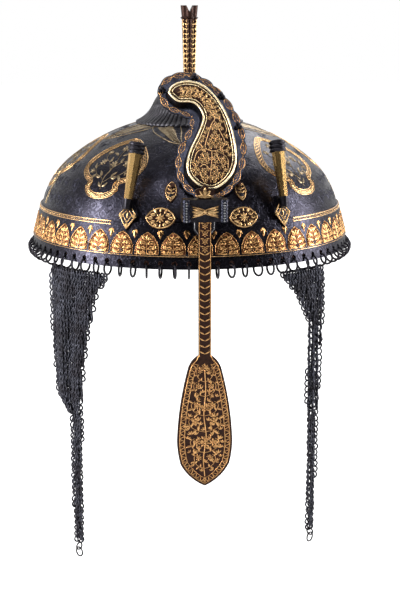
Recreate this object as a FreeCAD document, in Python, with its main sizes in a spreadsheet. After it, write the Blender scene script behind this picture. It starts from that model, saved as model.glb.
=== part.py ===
import FreeCAD, Part
import math
import os
import Sketcher
from types import SimpleNamespace
from FreeCAD import Placement, Rotation, Vector

# Kulah khud: a steel bowl with a spike, a boteh crest, two plume tubes, a sliding nasal and ring mail.
# Millimetres, +Z up, the wearer faces -Y. The origin is the centre of the bowl's lower edge.

# Driving sizes: name, value, what it is
SIZES = (
    ("rim_radius", 104.0, "outer radius of the bowl at its lower edge"),
    ("flare_angle", 15.0, "lean of the straight brow wall from upright, degrees"),
    ("flare_height", 27.0, "height where the straight brow wall turns into the dome"),
    ("side_radius", 55.0, "radius of the dome's side arc"),
    ("crown_height", 83.0, "height of the bowl's outer crown"),
    ("skull_wall", 1.5, "thickness of the bowl"),
    ("sheet_seat", 0.05, "clearance of a plate that lies on the bowl"),
    ("band_low", 7.0, "lower edge of the brow band"),
    ("band_high", 26.5, "upper edge of the brow band"),
    ("band_thickness", 1.0, "thickness of the brow band"),
    ("ring_count", 76, "number of rim rings"),
    ("ring_hole_height", 3.2, "height of the ring holes above the lower edge"),
    ("ring_hole_radius", 1.6, "radius of each ring hole"),
    ("ring_mean_radius", 4.0, "radius of a rim ring along its wire"),
    ("ring_wire_radius", 0.65, "radius of the rim rings' wire"),
    ("ring_drop", 0.6, "how far a ring's wire lies below the middle of its hole"),
    ("ring_turn", 15.0, "turn of every other ring from the radial plane, degrees"),
    ("tang_radius", 2.4, "radius of the spike's threaded tang"),
    ("tang_fit", 0.05, "radial clearance round the tang"),
    ("tang_low", 74.5, "lower end of the tang"),
    ("skirt_radius", 35.0, "radius of the finial's gadrooned skirt"),
    ("skirt_lip", 1.6, "height of the skirt's lower lip"),
    ("skirt_top_radius", 24.0, "radius where the skirt's lobes end"),
    ("skirt_top_height", 90.0, "height where the skirt's lobes end"),
    ("skirt_bulge_radius", 20.0, "radius of the arc that swells the skirt"),
    ("neck_radius", 5.6, "radius of the finial's neck"),
    ("neck_height", 103.0, "top of the finial's neck"),
    ("neck_sweep_radius", 21.0, "radius of the hollow sweep up to the neck"),
    ("gadroon_count", 24, "number of lobes round the skirt"),
    ("gadroon_cut_radius", 1.3, "radius of the valley between two lobes"),
    ("collar_radius", 6.4, "radius of the spike's collar at its bead"),
    ("collar_height", 5.0, "height of the spike's collar"),
    ("spike_top", 144.0, "height where the spike's shaft meets its cup"),
    ("spike_low_half", 3.9, "half width of the spike's shaft at its foot"),
    ("spike_high_half", 4.9, "half width of the spike's shaft at its top"),
    ("spike_groove_radius", 1.1, "radius of the groove down each side of the spike"),
    ("cup_height", 7.0, "height of the spike's cup above its collar"),
    ("cup_half", 5.6, "half width of the cup at its mouth"),
    ("cup_notch_depth", 4.5, "depth of the notch in the cup"),
    ("cup_notch_half", 2.2, "half width of the notch at the cup's mouth"),
    ("spike_bead_height", 1.6, "height of the bead under the cup"),
    ("nut_radius", 6.0, "corner radius of the nut inside the crown"),
    ("nut_height", 4.0, "thickness of the nut"),
    ("washer_radius", 9.0, "radius of the washer above the nut"),
    ("washer_thickness", 1.0, "thickness of the washer"),
    ("crest_setback", 9.0, "how far the crest plate's lower end stands behind the rim's front"),
    ("crest_foot_height", 39.3, "height of the crest plate's lower end"),
    ("crest_lean", 27.0, "lean of the crest plate, degrees"),
    ("crest_thickness", 1.4, "thickness of the crest plate"),
    ("scallop_rise", 1.3, "how far each scallop of the crest's border bulges"),
    ("boss_height", 6.0, "height of the boteh boss above its plate"),
    ("boss_inset", 1.6, "how far the boss draws in towards its face"),
    ("boss_crown", 1.4, "extra height of the boss at the middle of its face"),
    ("knob_radius", 1.3, "radius of each ball of a crest knob"),
    ("knob_spread", 1.4, "how far a knob's three lower balls stand from its pin"),
    ("knob_pin_radius", 0.8, "radius of a crest knob's pin"),
    ("pin_fit", 0.03, "radial clearance round pins and rivets"),
    ("crest_stay_radius", 1.8, "radius of the stay behind the crest plate"),
    ("stay_flange_edge", 1.3, "how far the stay's flange reaches past its rivets"),
    ("stay_flange_wide", 6.1, "width of the stay's flange"),
    ("crest_stay_seat", 46.0, "where the stay meets the plate, measured up the plate"),
    ("crest_stay_height", 71.0, "height where the stay stands on the bowl"),
    ("crest_foot_angle", 13.4, "angle of each crest foot from the middle of its pair, degrees"),
    ("crest_leaf_height", 44.0, "height of the middle of each crest foot's leaf"),
    ("crest_leaf_long", 14.0, "length of each crest foot's leaf"),
    ("crest_leaf_wide", 8.0, "width of each crest foot's leaf"),
    ("foot_post_radius", 1.3, "radius of the post from a crest foot to the plate"),
    ("leaf_thickness", 1.0, "thickness of the leaf plates on the bowl"),
    ("bar_width", 7.4, "width of the nasal bar"),
    ("bar_thickness", 2.5, "thickness of the nasal bar and its blade"),
    ("bar_clearance", 6.3, "how far the nasal's back face stands in front of the rim"),
    ("bar_low", -50.0, "height where the bar meets the blade at rest"),
    ("blade_length", 81.0, "length of the nasal blade"),
    ("blade_half", 16.6, "half width of the blade at its widest"),
    ("blade_widest", 52.0, "how far below the bar the blade is widest"),
    ("shoulder_half", 9.8, "half width of the blade at its shoulder"),
    ("shoulder_drop", 7.5, "how far below the bar the shoulder lies"),
    ("shoulder_round", 14.0, "radius of the blade's shoulder"),
    ("flank_round", 200.0, "radius of the blade's flank"),
    ("cheek_half", 14.7, "half width of the blade where it turns to its point"),
    ("cheek_drop", 67.0, "how far below the bar the blade turns to its point"),
    ("cheek_round", 60.0, "radius between the widest place and the cheek"),
    ("tip_round", 30.0, "radius from the cheek to the point"),
    ("slide_fit", 0.1, "clearance each side of the bar in its slot"),
    ("nasal_travel", 78.0, "upward travel of the nasal"),
    ("bracket_low", 30.0, "lower face of the nasal bracket"),
    ("bracket_high", 43.0, "upper face of the nasal bracket"),
    ("bracket_half", 13.2, "half width of the nasal bracket"),
    ("bracket_wall", 2.2, "thickness of the bracket's front wall"),
    ("bracket_back_wall", 1.8, "thickness of the bracket's back wall"),
    ("spring_space", 1.1, "room behind the bar for its spring"),
    ("bracket_leg", 4.0, "width of each bracket leg"),
    ("bracket_leg_drop", 5.0, "how far the legs' upper face lies below the bracket's"),
    ("wing_reach", 24.0, "how far each bracket wing reaches to the side"),
    ("wing_half", 2.6, "half height of a bracket wing"),
    ("wing_thickness", 1.0, "thickness of a bracket wing"),
    ("roll_radius", 2.3, "radius of the reeded rolls on the bracket"),
    ("roll_groove", 0.35, "depth of the reeds on a roll"),
    ("roll_reeds", 6, "number of reeds on a roll"),
    ("bow_half", 8.2, "half width of the bow plate"),
    ("bow_waist", 1.4, "half height of the bow plate at its middle"),
    ("bow_notch", 2.3, "depth of the notch in each end of the bow plate"),
    ("bow_top_gap", 3.2, "how far the bow plate ends below the bracket's top"),
    ("bow_low_gap", 2.1, "how far the bow plate ends above the bracket's lower edge"),
    ("bow_thickness", 0.9, "thickness of the bow plate"),
    ("tongue_low", 15.0, "height of the point of the tongue behind the bar"),
    ("tongue_half", 6.6, "half width of the tongue behind the bar"),
    ("tongue_shoulder", 5.25, "how far below the bracket the tongue starts to narrow"),
    ("tongue_thickness", 1.0, "thickness of the tongue"),
    ("spring_thickness", 0.4, "thickness of the nasal's leaf spring"),
    ("spring_half", 2.4, "half width of the leaf spring"),
    ("head_width", 12.0, "width of the palmette head on the bar"),
    ("head_height", 8.0, "height of the palmette head"),
    ("head_gap", 0.1, "clearance between the head and the bracket at rest"),
    ("tenon_radius", 0.9, "radius of the tenon that holds the head"),
    ("tenon_length", 4.0, "length of the tenon"),
    ("rosette_angle", 14.6, "angle of each almond rosette from the front, degrees"),
    ("rosette_height", 29.0, "height of the middle of each almond rosette"),
    ("rosette_long", 19.0, "length of each almond rosette"),
    ("rosette_wide", 13.0, "width of each almond rosette"),
    ("front_turn", 1.9, "how far the plumes' and crest feet's middle is turned to +X, degrees"),
    ("plume_angle", 28.5, "angle of each plume tube from the middle of its pair, degrees"),
    ("plume_lean", 16.5, "lean of the plume tubes towards the middle, degrees"),
    ("plume_sway", 3.4, "sideways lean of the plume tubes towards +X, degrees"),
    ("plume_foot_height", 30.5, "height of the middle of each plume foot"),
    ("plume_foot_long", 20.0, "length of each plume foot's lozenge"),
    ("plume_foot_wide", 12.4, "width of each plume foot's lozenge"),
    ("plume_stand", 4.6, "how far a tube's axis stands off the bowl at its foot"),
    ("plume_neck_height", 40.0, "height of a tube's lower end"),
    ("plume_tube_long", 34.0, "length of a plume tube"),
    ("plume_low_radius", 2.6, "corner radius of a tube at its lower end"),
    ("plume_high_radius", 4.2, "corner radius of a tube at its mouth"),
    ("plume_bore_radius", 2.9, "radius of a tube's bore"),
    ("plume_bore_depth", 15.0, "depth of a tube's bore"),
    ("plume_collar_long", 7.0, "length of a tube's collar"),
    ("plume_collar_wall", 0.55, "wall of a tube's collar between its beads"),
    ("collar_fit", 0.03, "clearance between a collar and its tube"),
    ("web_half", 2.0, "half width of the web under a tube"),
    ("rivet_radius", 0.8, "radius of a rivet's shank"),
    ("rivet_head_radius", 1.35, "radius of a rivet's head"),
    ("rivet_head_height", 0.7, "height of a rivet's head"),
    ("lining_gap", 2.4, "room between the bowl's inside and the lining"),
    ("lining_thickness", 4.5, "thickness of the quilted lining"),
    ("lining_low", 3.0, "lower edge of the lining"),
    ("lining_hole", 14.0, "radius of the lining's gathered hole at the crown"),
    ("mail_gap", 0.6, "clearance under the rim rings at the mail's top edge"),
    ("mail_thickness", 2.2, "thickness of the ring mail"),
    ("mail_edge", 0.8, "thickness of the mail's top edge"),
    ("mail_length", 92.0, "length of the mail from its top edge to its tail"),
    ("mail_fold", 1.6, "depth of the mail's folds where they are fullest"),
    ("tail_gap", 0.3, "clearance between the mail and its tail"),
    ("tail_thickness", 2.2, "thickness of a mail tail"),
    ("left_tail_length", 83.0, "length of the left flap's thin tail"),
    ("right_tail_length", 76.0, "length of the right flap's thin tail"),
    ("end_ring_radius", 2.2, "radius of the first end ring along its wire"),
    ("last_ring_radius", 2.9, "radius of the last end ring along its wire"),
    ("end_wire_radius", 0.5, "radius of the end rings' wire"),
)

# The boteh boss's outline on its plate, from the tip of its curl clockwise: across and up, in mm
BOTEH = (
    (-19.4, 66.2), (-16.6, 72.4), (-8.5, 75.6), (0.8, 74.2), (8.6, 68.2), (15.2, 58.6), (19.9, 46.8),
    (22.3, 32.0), (21.6, 20.0), (16.4, 10.2), (7.2, 4.2), (-1.8, 5.9), (-8.6, 12.8), (-10.4, 20.8),
    (-8.0, 30.4), (-3.4, 39.9), (-0.2, 48.0), (0.0, 53.4), (-4.2, 58.5), (-13.0, 59.4),
)

# The pinches between the scallops of the crest plate's border, clockwise
SCALLOP_PINCHES = (
    (-23.6, 66.4), (-22.2, 75.0), (-15.4, 80.4), (-6.0, 81.8), (3.0, 78.6), (9.8, 73.4), (16.2, 66.0),
    (21.4, 57.4), (25.2, 48.0), (26.9, 38.0), (26.6, 28.0), (24.4, 18.4), (19.4, 9.6), (12.0, 3.4),
    (2.6, 0.2), (-5.4, 4.2), (-11.6, 10.8), (-14.4, 19.6), (-13.6, 29.4), (-9.6, 38.4), (-5.2, 46.2),
    (-5.0, 53.0), (-11.0, 55.6), (-18.6, 58.6),
)

# Crest knobs: across and up the plate
KNOBS = ((-21.6, 70.8), (-1.6, 79.0), (14.0, 66.4), (23.4, 47.0))

# How far along its length each mail flap is cut, and its two edges' angles from the front, degrees
LEFT_MAIL = ((0.0, -61.0, -33.5), (0.12, -61.0, -37.8), (0.35, -59.8, -41.0), (0.65, -58.0, -44.2),
             (0.90, -56.6, -45.6), (1.0, -51.5, -45.7))
RIGHT_MAIL = ((0.0, 28.0, 48.6), (0.12, 35.0, 49.4), (0.35, 42.2, 49.0), (0.65, 42.0, 47.8),
              (0.90, 41.8, 47.4), (1.0, 42.6, 47.2))
LEFT_TAIL = (-50.8, -46.2)
RIGHT_TAIL = (42.4, 46.6)
MAIL_FOLDS = 4

doc = FreeCAD.newDocument("KulahKhud")


# The sheet of sizes

def make_sheet():
    """Fill the spreadsheet with the driving sizes and return them by name."""
    sheet = doc.addObject("Spreadsheet::Sheet", "Sizes")
    for row, (alias, value, meaning) in enumerate(SIZES, start=1):
        sheet.set(f"A{row}", meaning)
        sheet.set(f"B{row}", str(value))
        sheet.setAlias(f"B{row}", alias)
    doc.recompute()
    return sheet, SimpleNamespace(**{alias: float(sheet.get(alias)) for alias, _, _ in SIZES})


SHEET, S = make_sheet()
PARTS = []


def number(formula):
    """The value of a formula in the sheet's names."""
    return float(SHEET.evalExpression(formula))


# Sketches and bodies

def corner(across, up, arc=None, side=1):
    """One corner of an outline: two formulas, and the arc that leaves it with its centre's side."""
    return SimpleNamespace(across=across, up=up, arc=arc, side=side)


def new_body(label):
    """A body that is one named piece of the helmet."""
    body = doc.addObject("PartDesign::Body", label)
    body.Label = label
    PARTS.append(body)
    return body


def new_sketch(body, role, name, offset=None):
    """A sketch on one of the body's own origin planes, moved along the plane's normal by a formula."""
    sketch = body.newObject("Sketcher::SketchObject", name)
    plane = next(item for item in body.Origin.OriginFeatures if item.Role == role)
    sketch.AttachmentSupport = [(plane, "")]
    sketch.MapMode = "FlatFace"
    if offset:
        sketch.setExpression("AttachmentOffset.Base.z", offset)
    return sketch


def bind(sketch, constraint, formula):
    """Add a sized constraint and tie it to the sheet."""
    index = sketch.addConstraint(constraint)
    sketch.setExpression(f"Constraints[{index}]", formula)


def draw_run(sketch, start, end, node):
    """Draw the run that leaves a corner; return the curve and the ends that start and finish it."""
    if node.arc is None:
        return sketch.addGeometry(Part.LineSegment(start, end), False), 1, 2
    radius = number(node.arc)
    run = end - start
    left = Vector(-run.y, run.x, 0).normalize()
    rise = math.sqrt(radius ** 2 - (run.Length / 2) ** 2)
    centre = (start + end) * 0.5 + left * rise * node.side
    first, last = (start, end) if node.side > 0 else (end, start)
    begin = math.atan2(first.y - centre.y, first.x - centre.x)
    finish = math.atan2(last.y - centre.y, last.x - centre.x)
    circle = Part.Circle(centre, Vector(0, 0, 1), radius)
    curve = sketch.addGeometry(Part.ArcOfCircle(circle, begin, finish), False)
    bind(sketch, circle_radius(curve, radius), node.arc)
    return (curve, 1, 2) if node.side > 0 else (curve, 2, 1)


def circle_radius(curve, radius):
    """A radius constraint."""
    return Sketcher.Constraint("Radius", curve, radius)


def pin_point(sketch, curve, end, node):
    """Hold one end of a curve at its corner's two formulas, or on an axis where a formula is 0."""
    for kind, axis, formula in (("DistanceX", -2, node.across), ("DistanceY", -1, node.up)):
        if formula == "0":
            sketch.addConstraint(Sketcher.Constraint("PointOnObject", curve, end, axis))
        else:
            value = number(formula)
            bind(sketch, Sketcher.Constraint(kind, -1, 1, curve, end, value), formula)


def draw_outline(sketch, corners):
    """Draw a closed outline through corners and hold each corner at its formulas."""
    points = [Vector(number(node.across), number(node.up), 0) for node in corners]
    runs = []
    for index, node in enumerate(corners):
        runs.append(draw_run(sketch, points[index], points[(index + 1) % len(points)], node))
    for index, (curve, first, _) in enumerate(runs):
        before, _, last = runs[index - 1]
        sketch.addConstraint(Sketcher.Constraint("Coincident", before, last, curve, first))
    for (curve, first, _), node in zip(runs, corners):
        pin_point(sketch, curve, first, node)


def draw_circle(sketch, across, up, radius):
    """Draw a circle whose centre and radius are formulas."""
    centre = Vector(number(across), number(up), 0)
    curve = sketch.addGeometry(Part.Circle(centre, Vector(0, 0, 1), number(radius)), False)
    bind(sketch, circle_radius(curve, number(radius)), radius)
    pin_point(sketch, curve, 3, corner(across, up))


def turned_body(label, corners):
    """A body turned about the upright axis from an outline of radius and height."""
    body = new_body(label)
    sketch = new_sketch(body, "XZ_Plane", f"{label}_profile")
    draw_outline(sketch, corners)
    revolution = body.newObject("PartDesign::Revolution", f"{label}_turned")
    revolution.Profile = sketch
    revolution.ReferenceAxis = (sketch, ["V_Axis"])
    revolution.Angle = 360
    return body


def padded_body(label, role, corners, length, offset=None, reverse=False):
    """A body padded from an outline on an origin plane by a length formula."""
    body = new_body(label)
    sketch = new_sketch(body, role, f"{label}_outline", offset)
    draw_outline(sketch, corners)
    pad = body.newObject("PartDesign::Pad", f"{label}_pad")
    pad.Profile = sketch
    pad.Reversed = reverse
    pad.setExpression("Length", length)
    return body


def keep_shape(label, shape, placement=None):
    """A piece whose shape is worked out from the sheet."""
    piece = doc.addObject("Part::Feature", label)
    piece.Label = label
    piece.Shape = shape
    if placement:
        piece.Placement = placement
    PARTS.append(piece)
    return piece


def polygon(points, close=True):
    """A wire of straight runs."""
    return Part.makePolygon(points + points[:1] if close else points)


def prism(points, direction):
    """A straight prism on a flat outline."""
    return Part.Face(polygon(points)).extrude(direction)


# The bowl's surface, for everything that lies on it

class Dome:
    """The bowl's outer surface moved out by offset: a straight flare, a side arc and a crown arc."""

    def __init__(self, offset=0.0):
        lean = math.radians(S.flare_angle)
        self.lean = lean
        self.side_x = S.rim_radius - S.flare_height * math.tan(lean) - S.side_radius * math.cos(lean)
        self.side_z = S.flare_height - S.side_radius * math.sin(lean)
        rise = S.crown_height - self.side_z
        crown = (self.side_x ** 2 + rise ** 2 - S.side_radius ** 2) / (2 * (rise - S.side_radius))
        self.crown_z = S.crown_height - crown
        self.turn = math.atan2(self.side_z - self.crown_z, self.side_x)
        self.side = S.side_radius + offset
        self.crown = crown + offset
        self.foot = S.rim_radius + offset / math.cos(lean)

    def lie(self, height):
        """Radius and outward lean above level of the surface at a height."""
        flare_top = self.side_z + self.side * math.sin(self.lean)
        if height <= flare_top:
            return self.foot - height * math.tan(self.lean), self.lean
        side_top = self.side_z + self.side * math.sin(self.turn)
        if height <= side_top:
            angle = math.asin((height - self.side_z) / self.side)
            return self.side_x + self.side * math.cos(angle), angle
        angle = math.asin((height - self.crown_z) / self.crown)
        return self.crown * math.cos(angle), angle

    def solid(self):
        """The solid under the surface, down to the flare's foot."""
        lean, turn = self.lean, self.turn
        low = -S.rim_radius
        foot = Vector(self.foot - low * math.tan(lean), 0, low)
        brow = Vector(self.side_x + self.side * math.cos(lean), 0, self.side_z + self.side * math.sin(lean))
        side_middle = (lean + turn) / 2
        middle = Vector(self.side_x + self.side * math.cos(side_middle), 0,
                        self.side_z + self.side * math.sin(side_middle))
        joint = Vector(self.crown * math.cos(turn), 0, self.crown_z + self.crown * math.sin(turn))
        crown_middle = (turn + math.pi / 2) / 2
        upper = Vector(self.crown * math.cos(crown_middle), 0,
                       self.crown_z + self.crown * math.sin(crown_middle))
        top = Vector(0, 0, self.crown_z + self.crown)
        runs = [Part.LineSegment(foot, brow), Part.Arc(brow, middle, joint), Part.Arc(joint, upper, top),
                Part.LineSegment(top, Vector(0, 0, low)), Part.LineSegment(Vector(0, 0, low), foot)]
        face = Part.Face(Part.Wire([run.toShape() for run in runs]))
        return face.revolve(Vector(0, 0, 0), Vector(0, 0, 1), 360)


class Seat:
    """A place on the bowl: across runs round it, up runs up its slope and out leaves it squarely."""

    def __init__(self, angle, height):
        turn = math.radians(angle)
        radius, slope = Dome().lie(height)
        radial = Vector(math.sin(turn), -math.cos(turn), 0)
        self.across = Vector(math.cos(turn), math.sin(turn), 0)
        self.out = radial * math.cos(slope) + Vector(0, 0, math.sin(slope))
        self.up = Vector(0, 0, math.cos(slope)) - radial * math.sin(slope)
        self.base = radial * radius + Vector(0, 0, height)

    def point(self, across, up, out=0.0):
        """A point given across, up and out from the seat."""
        return self.base + self.across * across + self.up * up + self.out * out


DOME_SHEETS = {}


def dome_sheet(inner, outer):
    """The shell between two surfaces parallel to the bowl's."""
    if (inner, outer) not in DOME_SHEETS:
        DOME_SHEETS[inner, outer] = Dome(outer).solid().cut(Dome(inner).solid())
    return DOME_SHEETS[inner, outer]


def plate_on_bowl(seat, outline, inner, outer):
    """A plate of the given outline that follows the bowl between two offsets."""
    reach = 4 * outer + S.side_radius / 4
    edges = outline_edges(seat, outline, -reach)
    block = Part.Face(Part.Wire(edges)).extrude(seat.out * (2 * reach))
    return dome_sheet(inner, outer).common(block)


def outline_edges(seat, outline, out):
    """Edges of an outline of (across, up, bulge) corners, where bulge is the rise of an arc."""
    edges = []
    for index, (across, up, bulge) in enumerate(outline):
        next_across, next_up, _ = outline[(index + 1) % len(outline)]
        start = seat.point(across, up, out)
        end = seat.point(next_across, next_up, out)
        if not bulge:
            edges.append(Part.LineSegment(start, end).toShape())
            continue
        run = Vector(next_across - across, next_up - up, 0)
        left = Vector(-run.y, run.x, 0).normalize() * bulge
        middle = Vector((across + next_across) / 2, (up + next_up) / 2, 0) + left
        edges.append(Part.Arc(start, seat.point(middle.x, middle.y, out), end).toShape())
    return edges


def rivet(seat, grip):
    """A rivet through the bowl and what lies on it: shank, domed outer head and flat inner head."""
    foot = seat.point(0.0, 0.0, -S.skull_wall - S.sheet_seat)
    shank = Part.makeCylinder(S.rivet_radius, S.skull_wall + 2 * S.sheet_seat + grip, foot, seat.out)
    inner = Part.makeCylinder(S.rivet_head_radius, S.rivet_head_height,
                              foot - seat.out * S.rivet_head_height, seat.out)
    return shank.fuse([inner, rivet_head(seat.point(0.0, 0.0, grip + S.sheet_seat), seat.out)])


def rivet_head(base, out):
    """A low domed head on a point, cut from a ball."""
    rise, reach = S.rivet_head_height, S.rivet_head_radius
    ball = (reach ** 2 + rise ** 2) / (2 * rise)
    sphere = Part.makeSphere(ball, base - out * (ball - rise))
    cap = Part.makeCylinder(reach + S.pin_fit, rise + S.pin_fit, base, out)
    return sphere.common(cap)


def rivet_hole(seat, reach):
    """The hole that a rivet passes through, from inside the bowl to a reach outside it."""
    foot = seat.point(0.0, 0.0, -2 * S.skull_wall)
    return Part.makeCylinder(S.rivet_radius + S.pin_fit, 2 * S.skull_wall + reach, foot, seat.out)


def seat_near(angle, height, across, up):
    """A seat on the bowl a little across and up from the one at an angle and a height."""
    radius, slope = Dome().lie(height)
    return Seat(angle + math.degrees(across / radius), height + up * math.cos(slope))


# Outlines of the small plates

def leaf_outline(length, width):
    """A pointed leaf that stands upright."""
    half = length / 2
    bulge = width * 0.5
    return ((0.0, -half, -bulge), (0.0, half, -bulge))


def lozenge_outline(length, width):
    """A lozenge with a long lower point, cusped sides and a short upper point."""
    half, side = length / 2, width / 2
    return ((0.0, -half, 0.06 * length), (side, -0.05 * half, -0.03 * length), (0.45 * side, 0.6 * half, 0.0),
            (0.3 * side, half, 0.0), (-0.3 * side, half, 0.0), (-0.45 * side, 0.6 * half, -0.03 * length),
            (-side, -0.05 * half, 0.06 * length))


def almond_outline(length, width):
    """An almond that lies on its side with a point at each end."""
    half = length / 2
    return ((-half, 0.0, width / 2), (half, 0.0, width / 2))


# Where the pairs and their rivets go

SIDES = (("left", -1), ("right", 1))


def turned(angle, side):
    """The azimuth of one piece of a pair whose middle is turned from the front."""
    return S.front_turn + side * angle


PLUME_SEATS = {name: Seat(turned(S.plume_angle, side), S.plume_foot_height) for name, side in SIDES}
LEAF_SEATS = {name: Seat(turned(S.crest_foot_angle, side), S.crest_leaf_height) for name, side in SIDES}
ROSETTE_SEATS = {name: Seat(side * S.rosette_angle, S.rosette_height) for name, side in SIDES}
STAY_SEAT = Seat(0.0, S.crest_stay_height)
PLATE_GRIP = S.sheet_seat + S.leaf_thickness
BAND_GRIP = S.sheet_seat + S.band_thickness
PLUME_GRIP = BAND_GRIP + PLATE_GRIP
WING_GRIP = S.sheet_seat + S.wing_thickness
ROSETTE_GRIP = WING_GRIP + PLATE_GRIP
PLUME_RIVET_SIDE = S.plume_foot_wide / 2 - 1.5 * S.rivet_head_radius
PLUME_RIVET_DROP = S.plume_foot_long / 2 - 2.6 * S.rivet_head_radius
PLUME_RIVETS = ((-PLUME_RIVET_SIDE, -0.05 * S.plume_foot_long), (PLUME_RIVET_SIDE, -0.05 * S.plume_foot_long),
                (0.0, -PLUME_RIVET_DROP))
LEAF_RIVET_DROP = S.crest_leaf_long / 2 - 3 * S.rivet_head_radius
STAY_RIVET_SIDE = S.crest_stay_radius + 1.9 * S.rivet_head_radius
RIVETS = {
    "plume_rivets": [(seat_near(turned(S.plume_angle, side), S.plume_foot_height, across, up), PLUME_GRIP)
                     for _, side in SIDES for across, up in PLUME_RIVETS],
    "bracket_rivets": [(ROSETTE_SEATS[name], ROSETTE_GRIP) for name, _ in SIDES],
    "crest_rivets": [(seat_near(turned(S.crest_foot_angle, side), S.crest_leaf_height, 0.0, -LEAF_RIVET_DROP),
                      PLATE_GRIP) for _, side in SIDES]
    + [(seat_near(0.0, S.crest_stay_height, side * STAY_RIVET_SIDE, 0.0), PLATE_GRIP) for _, side in SIDES],
}


def all_rivet_holes():
    """Every rivet's hole as one tool."""
    reach = ROSETTE_GRIP + S.rivet_head_height
    holes = [rivet_hole(seat, reach) for places in RIVETS.values() for seat, _ in places]
    return Part.makeCompound(holes)


RIVET_HOLES = all_rivet_holes()


# Formulas of the bowl's outline, for the turned bodies

LEAN_TAN = "tan(Sizes.flare_angle)"
LEAN_COS = "cos(Sizes.flare_angle)"
LEAN_SIN = "sin(Sizes.flare_angle)"
SIDE_X = f"(Sizes.rim_radius - Sizes.flare_height * {LEAN_TAN} - Sizes.side_radius * {LEAN_COS})"
SIDE_Z = f"(Sizes.flare_height - Sizes.side_radius * {LEAN_SIN})"
RISE = f"(Sizes.crown_height - {SIDE_Z})"
CROWN = f"(({SIDE_X}^2 + {RISE}^2 - Sizes.side_radius^2) / (2 * ({RISE} - Sizes.side_radius)))"
CROWN_Z = f"(Sizes.crown_height - {CROWN})"
TURN = f"atan2({SIDE_Z} - {CROWN_Z}; {SIDE_X})"


def flare_point(offset, height):
    """Radius formula of the flare at a height, moved out by an offset formula."""
    return f"(Sizes.rim_radius + ({offset}) / {LEAN_COS} - ({height}) * {LEAN_TAN})"


def dome_corners(offset, low, hole, side):
    """Corners of the bowl's outline from its lower edge to the crown's hole, or the way back."""
    flare_radius = f"{SIDE_X} + (Sizes.side_radius + {offset}) * {LEAN_COS}"
    flare_height = f"{SIDE_Z} + (Sizes.side_radius + {offset}) * {LEAN_SIN}"
    joint_radius = f"({CROWN} + {offset}) * cos({TURN})"
    joint_height = f"{CROWN_Z} + ({CROWN} + {offset}) * sin({TURN})"
    top = f"{CROWN_Z} + sqrt(({CROWN} + {offset})^2 - ({hole})^2)"
    side_arc = f"Sizes.side_radius + {offset}"
    crown_arc = f"{CROWN} + {offset}"
    if side > 0:
        return [corner(flare_point(offset, low), low), corner(flare_radius, flare_height, side_arc),
                corner(joint_radius, joint_height, crown_arc), corner(hole, top)]
    return [corner(hole, top, crown_arc, -1), corner(joint_radius, joint_height, side_arc, -1),
            corner(flare_radius, flare_height), corner(flare_point(offset, low), low)]


# Bowl, band, rings and lining

def make_skull():
    """The bowl with its ring holes, bored for the tang and the rivets."""
    hole = "(Sizes.tang_radius + Sizes.tang_fit)"
    corners = dome_corners("0", "0", hole, 1) + dome_corners("(-Sizes.skull_wall)", "0", hole, -1)
    body = turned_body("skull_bowl", corners)
    reach = "(6 * Sizes.skull_wall)"
    sketch = new_sketch(body, "YZ_Plane", "ring_hole_circle", f"Sizes.rim_radius - {reach} / 2")
    draw_circle(sketch, "0", "Sizes.ring_hole_height", "Sizes.ring_hole_radius")
    doc.recompute()
    solid_volume = body.Shape.Volume
    pocket = body.newObject("PartDesign::Pocket", "ring_hole")
    pocket.Profile = sketch
    pocket.Reversed = True
    pocket.setExpression("Length", reach)
    pattern = body.newObject("PartDesign::PolarPattern", "ring_holes")
    pattern.Originals = [pocket]
    pattern.Axis = (next(item for item in body.Origin.OriginFeatures if item.Role == "Z_Axis"), [""])
    pattern.Angle = 360
    pattern.setExpression("Occurrences", "Sizes.ring_count")
    body.Tip = pattern
    doc.recompute()
    drilled = solid_volume - body.Shape.Volume
    expected = S.ring_count * math.pi * S.ring_hole_radius ** 2 * S.skull_wall
    if not 0.7 * expected < drilled < 1.5 * expected:
        raise RuntimeError(f"the ring holes remove {drilled:.0f} mm3 where {expected:.0f} is expected")
    pierce("skull", body)


def pierce(label, body):
    """Cut the rivets' holes in a body; the cut is the named piece."""
    PARTS.remove(body)
    holes = doc.addObject("Part::Feature", f"{label}_rivet_holes")
    holes.Shape = RIVET_HOLES
    piece = doc.addObject("Part::Cut", label)
    piece.Label = label
    piece.Base = body
    piece.Tool = holes
    PARTS.append(piece)


def make_brow_band():
    """The applied band that lies on the flare."""
    inner = "Sizes.sheet_seat"
    outer = "(Sizes.sheet_seat + Sizes.band_thickness)"
    body = turned_body("brow_band_strip", [
        corner(flare_point(inner, "Sizes.band_low"), "Sizes.band_low"),
        corner(flare_point(outer, "Sizes.band_low"), "Sizes.band_low"),
        corner(flare_point(outer, "Sizes.band_high"), "Sizes.band_high"),
        corner(flare_point(inner, "Sizes.band_high"), "Sizes.band_high")])
    pierce("brow_band", body)


RING_RADIAL = (S.rim_radius - S.ring_hole_height * math.tan(math.radians(S.flare_angle))
               - S.skull_wall / 2 / math.cos(math.radians(S.flare_angle)))
RING_CENTRE = S.ring_hole_height - S.ring_drop - S.ring_mean_radius
RING_LOW = RING_CENTRE - S.ring_mean_radius - S.ring_wire_radius


def make_rim_rings():
    """The rings that hang in the holes along the rim, every other one turned a little."""
    count = round(S.ring_count)
    rings = []
    for index in range(count):
        angle = index * 360 / count
        torus = Part.makeTorus(S.ring_mean_radius, S.ring_wire_radius)
        torus.rotate(Vector(0, 0, 0), Vector(1, 0, 0), 90)
        torus.rotate(Vector(0, 0, 0), Vector(0, 0, 1), S.ring_turn * (index % 2))
        torus.translate(Vector(RING_RADIAL, 0, RING_CENTRE))
        torus.rotate(Vector(0, 0, 0), Vector(0, 0, 1), angle)
        rings.append(torus)
    keep_shape("rim_rings", Part.makeCompound(rings))


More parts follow.
